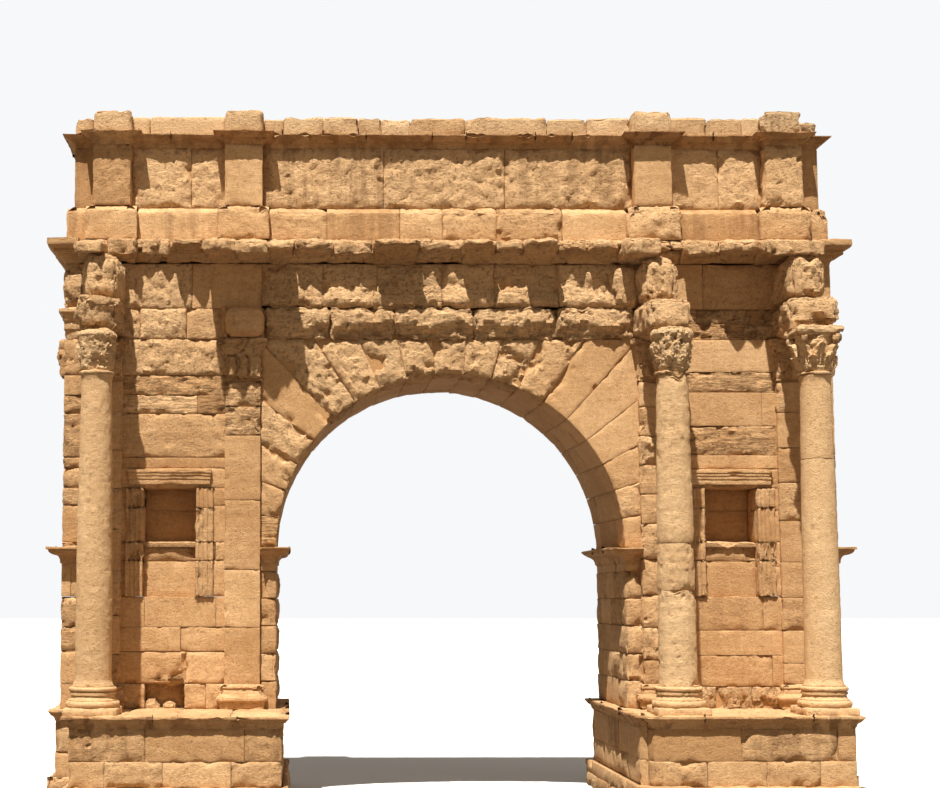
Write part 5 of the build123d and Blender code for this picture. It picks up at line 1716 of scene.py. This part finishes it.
def attic_wall():
    stones = Masonry("attic_wall_stones")
    path = box_path(-attic_x, attic_x, attic_front, attic_back)
    half_round_it = 2 * attic_x + (attic_back - attic_front)
    cuts = [x + attic_x for x in ATTIC_JOINTS] + [2 * attic_x + 1.15]
    cuts += [half_round_it + s for s in ATTIC_BACK_JOINTS] + [2 * half_round_it - 1.1]

    def style(x, y):
        if y < attic_front + 0.05:
            return ATTIC_KINDS[int(np.searchsorted(ATTIC_JOINTS, x))]
        return styled(DRESSED, 0.54, stain=0.5 if int(abs(x) * 7) % 3 == 0 else 0.1)

    upright = [(0, attic_base_head), (0, attic_wall_head)]
    run(stones, path, upright, style, cuts)
    for x, kind in zip(PILASTERS, PILASTER_KINDS):
        for face, out in ((attic_front, -1), (attic_back, 1)):
            path = three_sides(x - PILASTER_HALF, x + PILASTER_HALF, face - out * 0.1,
                               face + out * PILASTER_OUT)
            run(stones, path, upright, styled(kind if out < 0 else DRESSED, 0.6))
    stones.finish("wall_stone", ["attic_wall", "attic_pilasters_front", "attic_pilasters_back"], WALL)


def attic_cornice():
    stones = Masonry("attic_cornice_stones")
    path = stepped_path(attic_x, 0.0, PILASTER_HALF, PILASTER_OUT)
    shape = moulding(ATTIC_CORNICE, attic_cornice_head - attic_wall_head, 0.20, 0.0, attic_wall_head, 3)
    shape += [(0.10, attic_cornice_head), (-0.05, attic_cornice_head + 0.003)]
    kinds = [styled(MOULDED, 0.40, rough=0.016), styled(MOULDED, 0.45),
             styled(MOULDED, 0.35, wear=0.03)]

    def style(x, y):
        """Dark on the front between the inner pilasters: stains that run down, and a stain over 1 that
        darkens the whole stone, partly stain and partly painted shade.
        """
        stain_and_painted_shade = y < front and abs(x) < inner_x
        # a stain of 1.45 darkens these stones throughout: partly stain, partly painted shade
        return styled(kinds[int(abs(x) * 3.1) % 3], stain=1.45 if stain_and_painted_shade else 0.6)

    run(stones, path, shape, style, joints_along(path, 0.95, 44), cell_up=0.042, core=0.02)
    stones.finish("carved_stone", ["attic_cornice"], CARVED)


# The coping stones along the front: where they start and end, how much lower than the highest
# each is, their tones and their kind
FRONT_COPINGS = (
    ([-attic_x, -6.16], [0.03], [0.45], WORN),
    ([-5.49, -5.18, -3.87], [0.01, 0.0], [0.75, 0.85], DRESSED),
    ([-3.20, -2.85, -2.15, -1.55, -1.15, -0.62, 0.32, 1.75, 2.45, 3.20],
     [0.05, 0.01, 0.0, 0.02, 0.04, 0.02, 0.0, 0.03, 0.01],
     [0.5, 0.8, 0.75, 0.5, 0.8, 0.4, 0.55, 0.75, 0.8], WORN),
    ([3.87, 4.55, 5.17, 5.49], [0.0, 0.01, 0.0], [0.5, 0.5, 0.9], WORN),
    ([6.14, attic_x], [0.08], [0.6], BROKEN),
)
COPING_DEPTH = 0.75
COPING_JOINT = 0.004
PAVING_BED = 0.12
PILASTER_TONES = (0.62, 0.7, 0.75, 0.45)


def copings():
    stones = Masonry("coping_stones")
    foot, head = attic_cornice_head, coping_head + 0.04
    bed, deep = head - PAVING_BED, attic_back - attic_front - 0.1

    # a bed under all of it, and what closes the two ends below that
    slab(stones, (-attic_x + LAP, attic_front + 0.05, bed), *LEVEL, 2 * attic_x - 2 * LAP, deep,
         styled(WORN, 0.55), cell=0.12, cuts=(10, 2))
    for end, across, along, width, length in ((-1, (0, 0, 1), (0, 1, 0), bed - foot, deep),
                                              (1, (0, 1, 0), (0, 0, 1), deep, bed - foot)):
        slab(stones, (end * (attic_x - LAP), attic_front + 0.05, foot), across, along, width, length,
             styled(WORN, 0.5, rough=0.010), cell=0.12)

    def row(places, face, out, drops, tones, kind):
        for i, (a, b) in enumerate(zip(places[:-1], places[1:])):
            y0, y1 = sorted((face, face - out * COPING_DEPTH))
            top = head - drops[i % len(drops)]
            boulder(stones, (a + COPING_JOINT, y0, foot - 0.02), (b - COPING_JOINT, y1, top), 0.035,
                    styled(kind, tones[i % len(tones)]), cell=0.06, hidden=((2, -1), (1, -out)))

    for places, drops, tones, kind in FRONT_COPINGS:
        row(places, attic_front, -1, drops, tones, kind)
    places = list(np.linspace(-attic_x, attic_x, 13))
    row(places, attic_back, 1, [0.01, 0.03, 0.0, 0.04], [0.6, 0.7, 0.5], WORN)
    middle = (front + back) / 2
    places = np.linspace(-attic_x, attic_x, 12)
    for y0, y1 in ((attic_front + COPING_DEPTH, middle), (middle, attic_back - COPING_DEPTH)):
        for i, (a, b) in enumerate(zip(places[:-1], places[1:])):
            boulder(stones, (a + COPING_JOINT, y0 + 0.003, foot + 0.10),
                    (b - COPING_JOINT, y1 - 0.003, head - 0.02 - 0.02 * (i % 3)), 0.03,
                    styled(WORN, 0.6), cell=0.11, hidden=((2, -1),))
    top = high_of("pilaster_copings_front").z - 0.005
    for x, tone in zip(PILASTERS, PILASTER_TONES):
        for face, out in ((attic_front, -1), (attic_back, 1)):
            y0, y1 = sorted((face + out * PILASTER_OUT, face - out * 0.74))
            boulder(stones, (x - PILASTER_HALF, y0, foot - 0.02), (x + PILASTER_HALF, y1, top), 0.05,
                    styled(WORN if x < 5 else BROKEN, tone), hidden=((2, -1),))
    stones.finish("coping_stone", ["coping", "pilaster_copings_front", "pilaster_copings_back"], COPING)


# Building it all

for side in (-1, 1):
    podium(side)
    pier(side)
    imposts(side)
    niche_frames(side)
    end_capitals(side)
responds(-1)
responds(1)
arch()
for site in ("left_outer", "right_inner", "right_outer"):
    column_base(site)
shaft("left_outer", [], styled(DRESSED, 0.62, rough=0.008, pits=0.005))
shaft("right_inner", [0.3, 0.45], styled(WORN, 0.68, rough=0.011, pits=0.010, wear=0.05))
shaft("right_outer", [0.72], styled(SMOOTH, 0.56, rough=0.006, pits=0.004))
capital("left_outer", 0.25, 0.93, styled(BROKEN, 0.7, rough=0.034, pits=0.022))
capital("right_inner", 0.35, 0.99, styled(BROKEN, 0.7, rough=0.050, pits=0.045))
capital("right_outer", 1.0, 1.0, styled(BROKEN, 0.74, rough=0.024, pits=0.025))
architrave_courses()
bulging_stones()
blocks_over_columns()
frieze()
main_cornice()
attic_base()
attic_wall()
attic_cornice()
copings()


# Floor, light and camera

def seen_directly(tree):
    """1 for what the camera sees itself, or in metal or through glass."""
    light_path = node(tree, "ShaderNodeLightPath")
    direct = light_path.outputs["Is Camera Ray"]
    for ray in ("Is Glossy Ray", "Is Transmission Ray"):
        direct = maths(tree, "MAXIMUM", direct, light_path.outputs[ray])
    return direct


def pale_floor():
    """Pale to the camera; it throws less light back up at the stone than it shows."""
    material = bpy.data.materials.new("pale floor")
    material.use_nodes = True
    tree = material.node_tree
    shader = tree.nodes["Principled BSDF"]
    shader.inputs["Roughness"].default_value = 0.9
    colour = mixed(tree, seen_directly(tree), (0.13, 0.100, 0.070, 1), (0.80, 0.80, 0.79, 1))
    tree.links.new(colour, shader.inputs["Base Color"])
    return material


bpy.ops.mesh.primitive_plane_add(size=400, location=(0, 0, 0))
floor = bpy.context.object
floor.name = "floor"
floor.data.materials.append(pale_floor())

world = bpy.data.worlds.new("soft studio")
bpy.context.scene.world = world
world.use_nodes = True
sky = world.node_tree
background = sky.nodes["Background"]
background.inputs["Color"].default_value = (1.0, 0.90, 0.76, 1)
background.inputs["Strength"].default_value = 0.22
seen = node(sky, "ShaderNodeBackground")
seen.inputs["Color"].default_value = (0.93, 0.94, 0.95, 1)
seen.inputs["Strength"].default_value = 1.0
choose = node(sky, "ShaderNodeMixShader")
sky.links.new(seen_directly(sky), choose.inputs["Fac"])
sky.links.new(background.outputs[0], choose.inputs[1])
sky.links.new(seen.outputs[0], choose.inputs[2])
sky.links.new(choose.outputs[0], sky.nodes["World Output"].inputs["Surface"])


def lamp(name, strength, colour, elevation, azimuth, angle):
    """A distant lamp; the azimuth turns from the front's normal towards the left."""
    light = bpy.data.lights.new(name, "SUN")
    light.energy, light.color, light.angle = strength, colour, math.radians(angle)
    placed = bpy.data.objects.new(name, light)
    bpy.context.scene.collection.objects.link(placed)
    placed.rotation_euler = (math.radians(90 - elevation), 0, math.radians(-azimuth))


lamp("key", 7.4, (1.0, 0.965, 0.90), 66, 18, 0.8)
lamp("fill from the right", 0.16, (1.0, 0.90, 0.76), 35, -50, 40.0)

view = bpy.data.cameras.new("camera")
camera = bpy.data.objects.new("camera", view)
bpy.context.scene.collection.objects.link(camera)
bpy.context.scene.camera = camera
view.sensor_width = 36.0
view.lens = 60.67
view.shift_x, view.shift_y = 0.175, 0.06
camera.location = (-2.742, -27.483, 3.473)
camera.rotation_euler = (math.radians(90 + 5.201), 0, math.radians(-0.577))
bpy.context.scene.view_settings.view_transform = "Standard"
